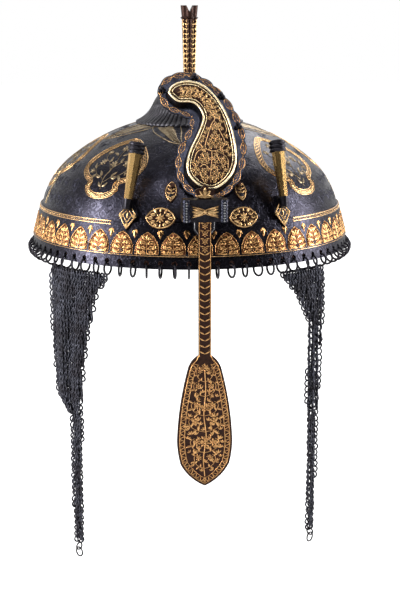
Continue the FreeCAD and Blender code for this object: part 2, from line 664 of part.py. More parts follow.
def make_lining():
    """The quilted cap inside the bowl, open at its gathered crown."""
    outer = "(-Sizes.skull_wall - Sizes.lining_gap)"
    inner = "(-Sizes.skull_wall - Sizes.lining_gap - Sizes.lining_thickness)"
    low = "Sizes.lining_low"
    hole = "Sizes.lining_hole"
    turned_body("lining", dome_corners(outer, low, hole, 1) + dome_corners(inner, low, hole, -1))


# Finial

def make_finial():
    """The skirt, collar, spike, washer and nut on the crown."""
    seat = Dome(S.sheet_seat)
    bore = S.tang_radius + S.tang_fit
    lip_low = seat.crown_z + math.sqrt(seat.crown ** 2 - S.skirt_radius ** 2)
    lip_high = lip_low + S.skirt_lip
    edges = [
        Part.LineSegment(Vector(S.skirt_radius, 0, lip_low), Vector(S.skirt_radius, 0, lip_high)).toShape(),
        arc_between(Vector(S.skirt_radius, 0, lip_high), Vector(S.skirt_top_radius, 0, S.skirt_top_height),
                    S.skirt_bulge_radius, -1),
        arc_between(Vector(S.skirt_top_radius, 0, S.skirt_top_height),
                    Vector(S.neck_radius, 0, S.neck_height), S.neck_sweep_radius, 1),
        Part.LineSegment(Vector(S.neck_radius, 0, S.neck_height), Vector(bore, 0, S.neck_height)).toShape(),
        Part.LineSegment(Vector(bore, 0, S.neck_height), Vector(bore, 0, 0)).toShape(),
        Part.LineSegment(Vector(bore, 0, 0), Vector(S.skirt_radius, 0, 0)).toShape(),
        Part.LineSegment(Vector(S.skirt_radius, 0, 0), Vector(S.skirt_radius, 0, lip_low)).toShape(),
    ]
    base = Part.Face(Part.Wire(edges)).revolve(Vector(0, 0, 0), Vector(0, 0, 1), 360)
    base = base.cut(seat.solid())
    run = Vector(S.skirt_top_radius - S.skirt_radius, 0, S.skirt_top_height - lip_low)
    start = Vector(S.skirt_radius, 0, lip_low) - run * 0.1
    side = Vector(run.z, 0, -run.x).normalize()
    valley_axis = start + side * S.gadroon_cut_radius * 1.6
    valley = Part.makeCylinder(S.gadroon_cut_radius, run.Length * 1.3, valley_axis, run)
    valleys = []
    for index in range(round(S.gadroon_count)):
        cutter = valley.copy()
        cutter.rotate(Vector(0, 0, 0), Vector(0, 0, 1), index * 360 / S.gadroon_count)
        valleys.append(cutter)
    keep_shape("finial_base", base.cut(Part.makeCompound(valleys)))

    bead_low = "(Sizes.neck_height + 0.25 * Sizes.collar_height)"
    bead_high = "(Sizes.neck_height + 0.75 * Sizes.collar_height)"
    collar_top = "(Sizes.neck_height + Sizes.collar_height)"
    bore_text = "(Sizes.tang_radius + Sizes.tang_fit)"
    turned_body("finial_collar", [
        corner(bore_text, "Sizes.neck_height"), corner("Sizes.neck_radius", "Sizes.neck_height"),
        corner("Sizes.neck_radius", bead_low, "0.3 * Sizes.collar_height"),
        corner("Sizes.neck_radius", bead_high), corner("Sizes.neck_radius", collar_top),
        corner(bore_text, collar_top)])

    turned_body("finial_washer", [
        corner(bore_text, washer_height(1)), corner("Sizes.washer_radius", washer_height(1)),
        corner("Sizes.washer_radius", washer_height(0)), corner(bore_text, washer_height(0))])

    hexagon = [Vector(S.nut_radius * math.cos(math.radians(60 * k)),
                      S.nut_radius * math.sin(math.radians(60 * k)), 0) for k in range(6)]
    nut_top = number(washer_height(1))
    nut = prism(hexagon, Vector(0, 0, S.nut_height))
    nut = nut.cut(Part.makeCylinder(bore, S.nut_height))
    keep_shape("finial_nut", nut, Placement(Vector(0, 0, nut_top - S.nut_height), Rotation()))


def washer_height(under):
    """Height formula of the washer's upper face, or of its lower face."""
    inner = f"({CROWN} - Sizes.skull_wall)"
    top = f"({CROWN_Z} + sqrt({inner}^2 - Sizes.washer_radius^2) - Sizes.sheet_seat)"
    return f"({top} - Sizes.washer_thickness)" if under else top


def arc_between(start, end, radius, side):
    """An arc edge in the XZ plane from start to end, its centre left of the run for side 1."""
    run = end - start
    left = Vector(-run.z, 0, run.x).normalize()
    half = run.Length / 2
    sagitta = radius - math.sqrt(radius ** 2 - half ** 2)
    middle = (start + end) * 0.5 - left * sagitta * side
    return Part.Arc(start, middle, end).toShape()


def quatrefoil(half, height):
    """A four-lobed outline at a height: four arcs that meet at grooves on the diagonals."""
    valley = half * 0.73
    edges = []
    for quarter in range(4):
        middle = math.radians(90 * quarter)
        start, top, end = (Vector(reach * math.cos(angle), reach * math.sin(angle), height)
                           for reach, angle in ((valley, middle - math.pi / 4), (half, middle),
                                                (valley, middle + math.pi / 4)))
        edges.append(Part.Arc(start, top, end).toShape())
    return Part.Wire(edges)


def make_spike():
    """The lobed spike with its tang, a bead and a notched cup."""
    foot = S.neck_height + S.collar_height
    shaft = Part.makeLoft([quatrefoil(S.spike_low_half, foot), quatrefoil(S.spike_high_half, S.spike_top)],
                          True, True)
    for quarter in range(4):
        angle = math.radians(90 * quarter)
        low = Vector(S.spike_low_half * math.cos(angle), S.spike_low_half * math.sin(angle), foot)
        high = Vector(S.spike_high_half * math.cos(angle), S.spike_high_half * math.sin(angle), S.spike_top)
        outward = Vector(math.cos(angle), math.sin(angle), 0) * S.spike_groove_radius * 0.45
        run = high - low
        groove = Part.makeCylinder(S.spike_groove_radius, run.Length, low + outward, run)
        shaft = shaft.cut(groove)
    tang = Part.makeCylinder(S.tang_radius, foot - S.tang_low, Vector(0, 0, S.tang_low))
    bead_top = S.spike_top + S.spike_bead_height
    bead = Part.makeLoft([quatrefoil(S.spike_high_half, S.spike_top),
                          quatrefoil(S.spike_high_half + 0.6 * S.spike_bead_height,
                                     S.spike_top + S.spike_bead_height / 2),
                          quatrefoil(S.spike_high_half, bead_top)], True, True)
    cup_top = bead_top + S.cup_height
    cup = Part.makeLoft([quatrefoil(S.spike_high_half, bead_top), quatrefoil(S.cup_half, cup_top)],
                        True, True)
    notch = prism([Vector(-S.cup_notch_half, -2 * S.cup_half, cup_top + S.pin_fit),
                   Vector(S.cup_notch_half, -2 * S.cup_half, cup_top + S.pin_fit),
                   Vector(0, -2 * S.cup_half, cup_top - S.cup_notch_depth)], Vector(0, 4 * S.cup_half, 0))
    spike = shaft.fuse([tang, bead, cup]).cut(notch)
    keep_shape("finial_spike", spike.removeSplitter())


# Crest

class CrestPlane:
    """The plane of the crest plate's front face: across, up the plate and out of it."""

    def __init__(self):
        lean = math.radians(S.crest_lean)
        self.base = Vector(0, S.crest_setback - S.rim_radius, S.crest_foot_height)
        self.across = Vector(1, 0, 0)
        self.up = Vector(0, math.sin(lean), math.cos(lean))
        self.out = Vector(0, -math.cos(lean), math.sin(lean))

    def point(self, across, up, out=0.0):
        """A point given across, up and out from the plate's lower end."""
        return self.base + self.across * across + self.up * up + self.out * out


CREST = CrestPlane()


def boteh_wire(inset, out):
    """The boteh's outline as one smooth closed curve, drawn in by inset, at a height off the plate."""
    count = len(BOTEH)
    points = []
    for index, (across, up) in enumerate(BOTEH):
        before = Vector(*BOTEH[index - 1], 0)
        after = Vector(*BOTEH[(index + 1) % count], 0)
        run = (after - before).normalize()
        inward = Vector(run.y, -run.x, 0) * inset
        points.append(CREST.point(across + inward.x, up + inward.y, out))
    curve = Part.BSplineCurve()
    curve.interpolate(Points=points, PeriodicFlag=True)
    return Part.Wire(curve.toShape())


def knob_holes():
    """The holes through the crest plate for the knobs' pins."""
    return [Part.makeCylinder(S.knob_pin_radius + S.pin_fit, 4 * S.crest_thickness,
                              CREST.point(across, up, -2 * S.crest_thickness), CREST.out)
            for across, up in KNOBS]


def crest_knob(across, up):
    """A knob on the plate's border: three balls round a pin, a fourth on them, and the pin's tail behind."""
    pin_foot = CREST.point(across, up, -S.crest_thickness - S.rivet_head_height)
    low = 0.92 * S.knob_radius
    high = low + 1.25 * S.knob_radius
    pin_long = S.crest_thickness + S.rivet_head_height + high
    pin = Part.makeCylinder(S.knob_pin_radius, pin_long, pin_foot, CREST.out)
    tail = Part.makeCylinder(S.rivet_head_radius, S.rivet_head_height, pin_foot, CREST.out)
    balls = [Part.makeSphere(S.knob_radius, CREST.point(across, up, high), CREST.out)]
    for turn in (90, 210, 330):
        angle = math.radians(turn)
        reach_across, reach_up = S.knob_spread * math.cos(angle), S.knob_spread * math.sin(angle)
        middle = CREST.point(across + reach_across, up + reach_up, low)
        balls.append(Part.makeSphere(S.knob_radius, middle, CREST.out))
    front = Part.makeBox(8 * S.knob_radius, 8 * S.knob_radius, 8 * S.knob_radius)
    front.Placement = Placement(CREST.point(across, up, 0.0), Rotation(CREST.across, CREST.up, CREST.out))
    front.translate((CREST.across + CREST.up) * (-4 * S.knob_radius))
    return balls[0].fuse(balls[1:]).common(front).fuse([pin, tail])


def make_crest():
    """The scalloped plate, its boteh boss, knobs, feet and stay."""
    outline = [(across, up, S.scallop_rise) for across, up in SCALLOP_PINCHES]
    face = Part.Face(Part.Wire(outline_edges(CREST, outline, -S.crest_thickness)))
    plate = face.extrude(CREST.out * S.crest_thickness).cut(Part.makeCompound(knob_holes()))
    keep_shape("crest_plate", plate)

    wall = Part.makeLoft([boteh_wire(0.0, 0.0), boteh_wire(S.boss_inset, S.boss_height)], True, True)
    crown = Part.makeLoft([boteh_wire(S.boss_inset, S.boss_height),
                           boteh_wire(2 * S.boss_inset, S.boss_height + S.boss_crown)], True, True)
    keep_shape("crest_boss", wall.fuse(crown))

    keep_shape("crest_knobs", Part.makeCompound([crest_knob(across, up) for across, up in KNOBS]))

    behind = crest_back_block()
    bowl = Dome(S.sheet_seat).solid()
    for name, seat in LEAF_SEATS.items():
        leaf = plate_on_bowl(seat, leaf_outline(S.crest_leaf_long, S.crest_leaf_wide),
                             S.sheet_seat, S.sheet_seat + S.leaf_thickness)
        leaf = leaf.cut(RIVET_HOLES)
        foot = seat.point(0.0, 0.25 * S.crest_leaf_long, -S.skull_wall)
        post = Part.makeCylinder(S.foot_post_radius, 4 * S.crest_leaf_long, foot, CREST.out)
        post = post.cut([bowl, behind])
        keep_shape(f"crest_foot_{name}", leaf.fuse(post))

    flange_long = 2 * (STAY_RIVET_SIDE + S.stay_flange_edge)
    flange = plate_on_bowl(STAY_SEAT, almond_outline(flange_long, S.stay_flange_wide),
                           S.sheet_seat, S.sheet_seat + S.leaf_thickness).cut(RIVET_HOLES)
    seat_on_plate = CREST.point(0.25 * S.crest_stay_seat, S.crest_stay_seat, 0.0)
    foot = STAY_SEAT.point(0.0, 0.0, -S.skull_wall)
    run = seat_on_plate - foot
    rod = Part.makeCylinder(S.crest_stay_radius, run.Length + 4 * S.crest_stay_radius, foot, run)
    rod = rod.cut([bowl, behind])
    keep_shape("crest_stay", flange.fuse(rod))


def crest_back_block():
    """Everything in front of the crest plate's back face, to trim what stands behind it."""
    size = 3 * S.rim_radius
    block = Part.makeBox(size, size, size)
    block.Placement = Placement(CREST.point(0.0, 0.0, -S.crest_thickness),
                                Rotation(CREST.across, CREST.up, CREST.out))
    block.translate((CREST.across + CREST.up) * (-size / 2))
    return block


# Nasal and its bracket

BAR_BACK = S.rim_radius + S.bar_clearance
BAR_FRONT = BAR_BACK + S.bar_thickness
SLOT_FRONT = BAR_FRONT + S.slide_fit
BRACKET_FRONT = SLOT_FRONT + S.bracket_wall
BAR_BACK_TEXT = "(Sizes.rim_radius + Sizes.bar_clearance)"
SLOT_BACK = BAR_BACK - S.spring_space
BRACKET_BACK = SLOT_BACK - S.tongue_thickness - S.bracket_back_wall


def block(half, back, front, low, high):
    """A block across the middle between two distances in front of the origin and two heights."""
    return Part.makeBox(2 * half, front - back, high - low, Vector(-half, -front, low))


def make_bracket():
    """The bracket that the bar slides in, its tongue, rolls, bow, spring and rosettes."""
    frame = block(S.bracket_half, BRACKET_BACK, BRACKET_FRONT, S.bracket_low, S.bracket_high)
    slot_half = S.bar_width / 2 + S.slide_fit
    slot = block(slot_half, SLOT_BACK, SLOT_FRONT, S.bracket_low - 1, S.bracket_high + 1)
    tongue_slot = block(S.tongue_half + S.slide_fit, SLOT_BACK - S.tongue_thickness, SLOT_BACK,
                        S.bracket_low - 1, S.bracket_high + 1)
    legs = []
    wings = []
    bowl = Dome(S.sheet_seat).solid()
    for _, side in SIDES:
        middle = side * (S.bracket_half - S.bracket_leg / 2)
        leg = block(S.bracket_leg / 2, 0, BRACKET_BACK, S.bracket_low, S.bracket_high - S.bracket_leg_drop)
        leg.translate(Vector(middle, 0, 0))
        legs.append(leg.cut(bowl))
        inner = S.bracket_half - S.bracket_leg
        wing = Part.makeBox(S.wing_reach - inner, 2 * S.rim_radius, 2 * S.wing_half,
                            Vector(inner, -2 * S.rim_radius, S.bracket_low))
        if side < 0:
            wing = wing.mirror(Vector(0, 0, 0), Vector(1, 0, 0))
        wings.append(dome_sheet(S.sheet_seat, S.sheet_seat + S.wing_thickness).common(wing))
    bracket = frame.cut([slot, tongue_slot]).fuse(legs + wings).cut(RIVET_HOLES)
    keep_shape("nasal_bracket", bracket.removeSplitter())

    tongue_back = SLOT_BACK - S.tongue_thickness
    shoulder = S.bracket_low - S.tongue_shoulder
    outline = [Vector(across, -tongue_back, height) for across, height in (
        (-S.tongue_half, S.bracket_high), (-S.tongue_half, shoulder), (0, S.tongue_low),
        (S.tongue_half, shoulder), (S.tongue_half, S.bracket_high))]
    keep_shape("bracket_tongue", prism(outline, Vector(0, -S.tongue_thickness, 0)))

    for name, seat in ROSETTE_SEATS.items():
        plate = plate_on_bowl(seat, almond_outline(S.rosette_long, S.rosette_wide),
                              WING_GRIP + S.sheet_seat, ROSETTE_GRIP)
        clear = block(S.bracket_half + S.slide_fit, 0, BRACKET_FRONT, S.bracket_low - S.wing_half,
                      S.bracket_high)
        keep_shape(f"bracket_rosette_{name}", plate.cut([RIVET_HOLES, clear]))

    keep_shape("bracket_rolls", Part.makeCompound([reeded_roll(side) for _, side in SIDES]))

    bow_high = "(Sizes.bracket_high - Sizes.bow_top_gap)"
    bow_low = "(Sizes.bracket_low + Sizes.bow_low_gap)"
    bow_middle = f"(({bow_high} + {bow_low}) / 2)"
    front = f"({BAR_BACK_TEXT} + Sizes.bar_thickness + Sizes.slide_fit + Sizes.bracket_wall)"
    padded_body("bracket_bow", "XZ_Plane", [
        corner("-Sizes.bow_half", bow_low), corner("0", f"({bow_middle} - Sizes.bow_waist)"),
        corner("Sizes.bow_half", bow_low), corner("(Sizes.bow_half - Sizes.bow_notch)", bow_middle),
        corner("Sizes.bow_half", bow_high), corner("0", f"({bow_middle} + Sizes.bow_waist)"),
        corner("-Sizes.bow_half", bow_high), corner("-(Sizes.bow_half - Sizes.bow_notch)", bow_middle)],
        "Sizes.bow_thickness", front)

    make_spring(tongue_back + S.tongue_thickness)


def reeded_roll(side):
    """A turned roll that stands on the bracket's front at one side, with reeds round it."""
    length = S.bracket_high - S.bracket_low
    centre = Vector(side * (S.bracket_half - S.roll_radius), -BRACKET_FRONT, S.bracket_low)
    roll = Part.makeCylinder(S.roll_radius, length, centre)
    reeds = round(S.roll_reeds)
    for index in range(reeds + 1):
        groove = Part.makeTorus(S.roll_radius + S.roll_groove, 2 * S.roll_groove,
                                centre + Vector(0, 0, length * index / reeds))
        roll = roll.cut(groove)
    behind = block(S.rim_radius, 0, BRACKET_FRONT, S.bracket_low - 1, S.bracket_high + 1)
    return roll.cut(behind)


def make_spring(seat):
    """The bowed leaf spring between the tongue and the bar."""
    low, high = S.bracket_low + S.slide_fit, S.bracket_high - S.slide_fit
    middle = (low + high) / 2
    rise = BAR_BACK - seat - S.spring_thickness - S.slide_fit
    outer = Part.Arc(Vector(0, -seat - S.spring_thickness, low),
                     Vector(0, -seat - S.spring_thickness - rise, middle),
                     Vector(0, -seat - S.spring_thickness, high)).toShape()
    inner = Part.Arc(Vector(0, -seat, high), Vector(0, -seat - rise, middle), Vector(0, -seat, low)).toShape()
    top = Part.LineSegment(Vector(0, -seat - S.spring_thickness, high), Vector(0, -seat, high)).toShape()
    bottom = Part.LineSegment(Vector(0, -seat, low), Vector(0, -seat - S.spring_thickness, low)).toShape()
    spring = Part.Face(Part.Wire([outer, top, inner, bottom])).extrude(Vector(2 * S.spring_half, 0, 0))
    spring.translate(Vector(-S.spring_half, 0, 0))
    keep_shape("nasal_spring", spring)


def make_nasal():
    """The bar and its leaf-shaped blade in one plate, with the palmette head on a tenon."""
    half = "Sizes.bar_width / 2"
    top = "(Sizes.bracket_high + Sizes.head_gap)"
    shoulder = "(Sizes.bar_low - Sizes.shoulder_drop)"
    widest = "(Sizes.bar_low - Sizes.blade_widest)"
    tip = "(Sizes.bar_low - Sizes.blade_length)"
    cheek = "(Sizes.bar_low - Sizes.cheek_drop)"
    corners = [
        corner(half, "Sizes.bar_low", "Sizes.shoulder_round", -1),
        corner("Sizes.shoulder_half", shoulder, "Sizes.flank_round", -1),
        corner("Sizes.blade_half", widest, "Sizes.cheek_round", -1),
        corner("Sizes.cheek_half", cheek, "Sizes.tip_round", -1),
        corner("0", tip, "Sizes.tip_round", -1),
        corner("-Sizes.cheek_half", cheek, "Sizes.cheek_round", -1),
        corner("-Sizes.blade_half", widest, "Sizes.flank_round", -1),
        corner("-Sizes.shoulder_half", shoulder, "Sizes.shoulder_round", -1),
        corner(f"-{half}", "Sizes.bar_low"), corner(f"-{half}", top), corner(half, top)]
    body = padded_body("nasal", "XZ_Plane", corners, "Sizes.bar_thickness", BAR_BACK_TEXT)
    sketch = new_sketch(body, "XY_Plane", "tenon_circle", top)
    draw_circle(sketch, "0", f"-({BAR_BACK_TEXT} + Sizes.bar_thickness / 2)", "Sizes.tenon_radius")
    tenon = body.newObject("PartDesign::Pad", "tenon")
    tenon.Profile = sketch
    tenon.setExpression("Length", "Sizes.tenon_length")

    head_half = "Sizes.head_width / 2"
    head_top = "(Sizes.bracket_high + Sizes.head_gap + Sizes.head_height)"
    head_cheek = "(Sizes.bracket_high + Sizes.head_gap + 0.55 * Sizes.head_height)"
    lobe = "0.42 * Sizes.head_height"
    head_notch = f"({head_cheek} + 0.18 * Sizes.head_height)"
    head = padded_body("nasal_head", "XZ_Plane", [
        corner("0.55 * Sizes.head_width / 2", top), corner(head_half, head_cheek, lobe),
        corner("0.4 * Sizes.head_width / 2", head_notch, lobe), corner("0", head_top, lobe),
        corner("-0.4 * Sizes.head_width / 2", head_notch, lobe), corner(f"-{head_half}", head_cheek),
        corner("-0.55 * Sizes.head_width / 2", top)], "Sizes.bar_thickness", BAR_BACK_TEXT)
    hole_sketch = new_sketch(head, "XY_Plane", "tenon_hole_circle", top)
    draw_circle(hole_sketch, "0", f"-({BAR_BACK_TEXT} + Sizes.bar_thickness / 2)",
                "Sizes.tenon_radius + Sizes.pin_fit")
    doc.recompute()
    before = head.Shape.Volume
    hole = head.newObject("PartDesign::Pocket", "tenon_hole")
    hole.Profile = hole_sketch
    hole.Reversed = True
    hole.setExpression("Length", "Sizes.tenon_length + 2 * Sizes.pin_fit")
    doc.recompute()
    if head.Shape.Volume >= before:
        raise RuntimeError("the tenon's hole removes nothing")


# Plume tubes

def octagon(centre, across, up, radius):
    """An eight-sided wire round a centre."""
    corners = []
    for k in range(8):
        angle = math.radians(22.5 + 45 * k)
        corners.append(centre + across * (radius * math.cos(angle)) + up * (radius * math.sin(angle)))
    return polygon(corners)


def plume_axis(side):
    """The lower end, the direction and the side direction of a plume tube."""
    turn = math.radians(turned(S.plume_angle, side))
    lean, sway = math.radians(S.plume_lean), math.radians(S.plume_sway)
    radial = Vector(math.sin(turn), -math.cos(turn), 0)
    tangent = Vector(math.cos(turn), math.sin(turn), 0)
    radius, slope = Dome().lie(S.plume_foot_height)
    foot = radial * (radius + S.plume_stand / math.cos(slope)) + Vector(0, 0, S.plume_foot_height)
    upright = Vector(0, 0, math.cos(lean)) - radial * math.sin(lean)
    direction = upright * math.cos(sway) + tangent * math.sin(sway)
    across = tangent * math.cos(sway) - upright * math.sin(sway)
    neck = foot + direction * ((S.plume_neck_height - S.plume_foot_height) / direction.z)
    return neck, direction, across


def make_plume(name, side):
    """One plume tube with its collar and its riveted foot."""
    neck, direction, across = plume_axis(side)
    front = across.cross(direction)
    mouth = neck + direction * S.plume_tube_long
    collar_low = mouth - direction * S.plume_collar_long
    body = Part.makeLoft([octagon(neck, across, front, S.plume_low_radius),
                          octagon(collar_low, across, front, S.plume_high_radius)], True, True)
    sleeve_radius = S.plume_high_radius * math.cos(math.radians(22.5)) - S.collar_fit
    sleeve = Part.makeCylinder(sleeve_radius, S.plume_collar_long, collar_low, direction)
    bore = Part.makeCylinder(S.plume_bore_radius, S.plume_bore_depth, mouth - direction * S.plume_bore_depth,
                             direction)
    keep_shape(f"plume_tube_{name}", body.fuse(sleeve).cut(bore))

    inner = sleeve_radius + S.collar_fit
    outer = inner + S.plume_collar_wall
    collar = Part.makeCylinder(outer, S.plume_collar_long, collar_low, direction)
    bead = S.plume_collar_long / 6
    beads = [Part.makeTorus(outer - 0.5 * bead, bead, collar_low + direction * (bead * place), direction)
             for place in (1, 3, 5)]
    through = Part.makeCylinder(inner, 3 * S.plume_collar_long, collar_low - direction * S.plume_collar_long,
                                direction)
    collar = collar.fuse(beads).cut(through)
    keep_shape(f"plume_collar_{name}", collar)

    seat = PLUME_SEATS[name]
    plate = plate_on_bowl(seat, lozenge_outline(S.plume_foot_long, S.plume_foot_wide),
                          S.sheet_seat, PLUME_GRIP)
    low = S.plume_foot_long * 0.3
    stem_foot = neck - direction * low
    stem = Part.makeCone(0.7 * S.plume_low_radius, S.plume_low_radius, low, stem_foot, direction)
    web_top = neck - direction * 0.1 * low
    inward = direction.cross(across) * (3 * S.plume_stand)
    web_points = [stem_foot, web_top, web_top + inward, stem_foot + inward - direction * low * 0.4]
    web = prism(web_points, across * (2 * S.web_half))
    web.translate(across * (-S.web_half))
    band_room = Dome(BAND_GRIP + S.sheet_seat).solid().common(below(S.band_high + S.sheet_seat))
    foot = plate.fuse([stem, web.cut(Dome(S.sheet_seat).solid())]).cut([RIVET_HOLES, band_room])
    keep_shape(f"plume_foot_{name}", foot)


def below(height):
    """Everything under a height."""
    size = 4 * S.rim_radius
    return Part.makeBox(size, size, size, Vector(-size / 2, -size / 2, height - size))


def make_rivets():
    """Each group of rivets as one piece of separate solids."""
    for label, places in RIVETS.items():
        keep_shape(label, Part.makeCompound([rivet(*place) for place in places]))


# Mail

MAIL_RADIUS = RING_RADIAL
MAIL_TOP = RING_LOW - S.mail_gap


def mail_section(first, last, height, thickness, fold):
    """A closed section of hanging mail: arcs that swing in and out along it, at a height."""
    def place(angle, radius):
        turn = math.radians(angle)
        return Vector(radius * math.sin(turn), -radius * math.cos(turn), height)

    def face(radius, way):
        edges = []
        for index in range(MAIL_FOLDS)[::way]:
            ends = (index, index + 1)[::way]
            start, end = (place(first + (last - first) * end / MAIL_FOLDS, radius) for end in ends)
            swing = fold if index % 2 else -fold
            crest = place(first + (last - first) * (index + 0.5) / MAIL_FOLDS, radius + swing)
            edges.append(Part.Arc(start, crest, end).toShape())
        return edges

    outer = face(MAIL_RADIUS + thickness / 2, 1)
    inner = face(MAIL_RADIUS - thickness / 2, -1)
    end_side = Part.LineSegment(place(last, MAIL_RADIUS + thickness / 2),
                                place(last, MAIL_RADIUS - thickness / 2)).toShape()
    start_side = Part.LineSegment(place(first, MAIL_RADIUS - thickness / 2),
                                  place(first, MAIL_RADIUS + thickness / 2)).toShape()
    return Part.Wire(outer + [end_side] + inner + [start_side])


def make_mail_flap(name, rows):
    """A mail flap with its folds, thin along its top edge where it hangs in the rings."""
    edge_drop = S.mail_thickness / 2
    top_first, top_last = rows[0][1], rows[0][2]
    sections = [mail_section(top_first, top_last, MAIL_TOP, S.mail_edge, 0.1 * S.mail_fold)]
    for share, first, last in rows:
        height = MAIL_TOP - edge_drop - share * (S.mail_length - edge_drop)
        width = math.radians(last - first) * MAIL_RADIUS
        fold = min(S.mail_fold * (0.35 + 0.65 * min(1.0, 3 * share)), 0.1 * width)
        sections.append(mail_section(first, last, height, S.mail_thickness, fold))
    keep_shape(f"mail_flap_{name}", Part.makeLoft(sections, True, True))


def make_mail_tail(name, edges, length):
    """The narrow tail below a flap, rounded at its top so that it can swing, and its end rings."""
    first, last = edges
    turn = math.radians((first + last) / 2)
    radial = Vector(math.sin(turn), -math.cos(turn), 0)
    along = Vector(math.cos(turn), math.sin(turn), 0)
    half = math.radians(last - first) / 2 * MAIL_RADIUS
    round_radius = S.tail_thickness / 2
    pivot = MAIL_TOP - S.mail_length - S.tail_gap - round_radius
    centre = radial * MAIL_RADIUS + Vector(0, 0, pivot)
    low = pivot - length
    top = Part.makeCylinder(round_radius, 2 * half, centre - along * half, along)

    def section(height, wide, thick):
        middle = radial * MAIL_RADIUS + Vector(0, 0, height)
        return polygon([middle - along * wide - radial * thick, middle + along * wide - radial * thick,
                        middle + along * wide + radial * thick, middle - along * wide + radial * thick])

    strip = Part.makeLoft([section(pivot, half, round_radius),
                           section((pivot + low) / 2, 0.85 * half, round_radius),
                           section(low, 0.6 * half, 0.8 * round_radius)], True, True)
    keep_shape(f"mail_tail_{name}", top.fuse(strip))

    wire = S.end_wire_radius
    first_centre = radial * MAIL_RADIUS + Vector(0, 0, low - S.tail_gap - S.end_ring_radius - wire)
    first_ring = Part.makeTorus(S.end_ring_radius, wire, first_centre, along)
    drop = S.end_ring_radius + S.last_ring_radius - 2 * wire - S.tail_gap
    last_ring = Part.makeTorus(S.last_ring_radius, wire, first_centre - Vector(0, 0, drop), radial)
    keep_shape(f"mail_end_rings_{name}", Part.makeCompound([first_ring, last_ring]))


# Build, check and write

def main():
    """Build every piece, check it and write it."""
    make_skull()
    make_brow_band()
    make_rim_rings()
    make_lining()
    make_finial()
    make_spike()
    make_crest()
    make_bracket()
    make_nasal()
    for name, side in SIDES:
        make_plume(name, side)
    make_rivets()
    make_mail_flap("left", LEFT_MAIL)
    make_mail_flap("right", RIGHT_MAIL)
    make_mail_tail("left", LEFT_TAIL, S.left_tail_length)
    make_mail_tail("right", RIGHT_TAIL, S.right_tail_length)
    doc.recompute()

    for item in doc.Objects:
        if "Invalid" in item.State or "Error" in item.State:
            raise RuntimeError(f"{item.Label} failed: {item.State}")
    os.makedirs("parts", exist_ok=True)
    for piece in PARTS:
        shape = piece.Shape
        if shape.isNull() or not shape.isValid() or not shape.Solids:
            raise RuntimeError(f"{piece.Label} has no valid solid")
        shape.exportStep(f"parts/{piece.Label}.step")
        print(f"{piece.Label}: {len(shape.Solids)} solids, {shape.Volume:.0f} mm3")


main()
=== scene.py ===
"""Dress of a kulah khud, an Indo-Persian helmet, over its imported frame.

Chart lengths are millimetres, +Z up, the wearer faces -Y. Meshes are written in metres.
"""
import logging
import math
from dataclasses import dataclass
from enum import Enum
from typing import Callable, Protocol, Sequence

import bmesh
import bpy
import numpy as np
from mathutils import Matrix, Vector


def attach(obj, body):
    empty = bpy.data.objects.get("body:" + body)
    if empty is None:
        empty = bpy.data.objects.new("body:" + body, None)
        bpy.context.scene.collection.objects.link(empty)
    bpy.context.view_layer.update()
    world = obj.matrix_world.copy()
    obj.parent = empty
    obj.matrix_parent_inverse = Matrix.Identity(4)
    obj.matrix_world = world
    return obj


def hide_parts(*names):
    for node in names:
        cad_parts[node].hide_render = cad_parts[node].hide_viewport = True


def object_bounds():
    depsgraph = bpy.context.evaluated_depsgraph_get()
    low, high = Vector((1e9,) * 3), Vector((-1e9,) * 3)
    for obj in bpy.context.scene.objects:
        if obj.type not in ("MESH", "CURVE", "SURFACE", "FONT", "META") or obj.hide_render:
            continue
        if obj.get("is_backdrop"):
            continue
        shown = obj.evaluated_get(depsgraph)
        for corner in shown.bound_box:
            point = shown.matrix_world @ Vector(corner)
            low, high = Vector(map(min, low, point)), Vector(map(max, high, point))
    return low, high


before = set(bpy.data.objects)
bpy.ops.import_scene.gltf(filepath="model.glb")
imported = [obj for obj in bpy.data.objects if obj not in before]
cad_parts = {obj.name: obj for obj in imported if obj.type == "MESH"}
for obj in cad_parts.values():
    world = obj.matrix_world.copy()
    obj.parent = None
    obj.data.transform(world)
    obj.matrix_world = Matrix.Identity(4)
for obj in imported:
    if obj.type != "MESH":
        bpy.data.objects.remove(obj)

LOG = logging.getLogger("helmet")
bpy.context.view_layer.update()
MM = 0.001
SINK = 0.09
MERGE = 2e-6
Array = np.ndarray
Outline = tuple[tuple[float, float], ...]
Tree, Node, Socket, Material = bpy.types.NodeTree, bpy.types.Node, bpy.types.NodeSocket, bpy.types.Material


# Raised work in flat millimetres

class Section(Enum):
    """Cross-sections of a raised line: shares across it and shares of its rise."""

    ROUND = ((-1.0, -0.62, 0.0, 0.62, 1.0), (0.0, 0.72, 1.0, 0.72, 0.0))
    KEEL = ((-1.0, 0.0, 1.0), (0.0, 1.0, 0.0))


def grid_faces(rows: int, cols: int, close_rows: bool = False, close_cols: bool = False) -> Array:
    """Quads of a grid of points that is numbered row by row.

    Args:
        rows: number of rows of points.
        cols: number of points in a row.
        close_rows: join the last row to the first.
        close_cols: join each row's last point to its first.

    Returns:
        Point numbers, four to a face.
    """
    row = np.arange(rows if close_rows else rows - 1)[:, None]
    col = np.arange(cols if close_cols else cols - 1)[None, :]
    next_row = (row + 1) % rows
    next_col = (col + 1) % cols
    corners = (row * cols + col, next_row * cols + col, next_row * cols + next_col, row * cols + next_col)
    return np.stack(np.broadcast_arrays(*corners), axis=-1).reshape(-1, 4)


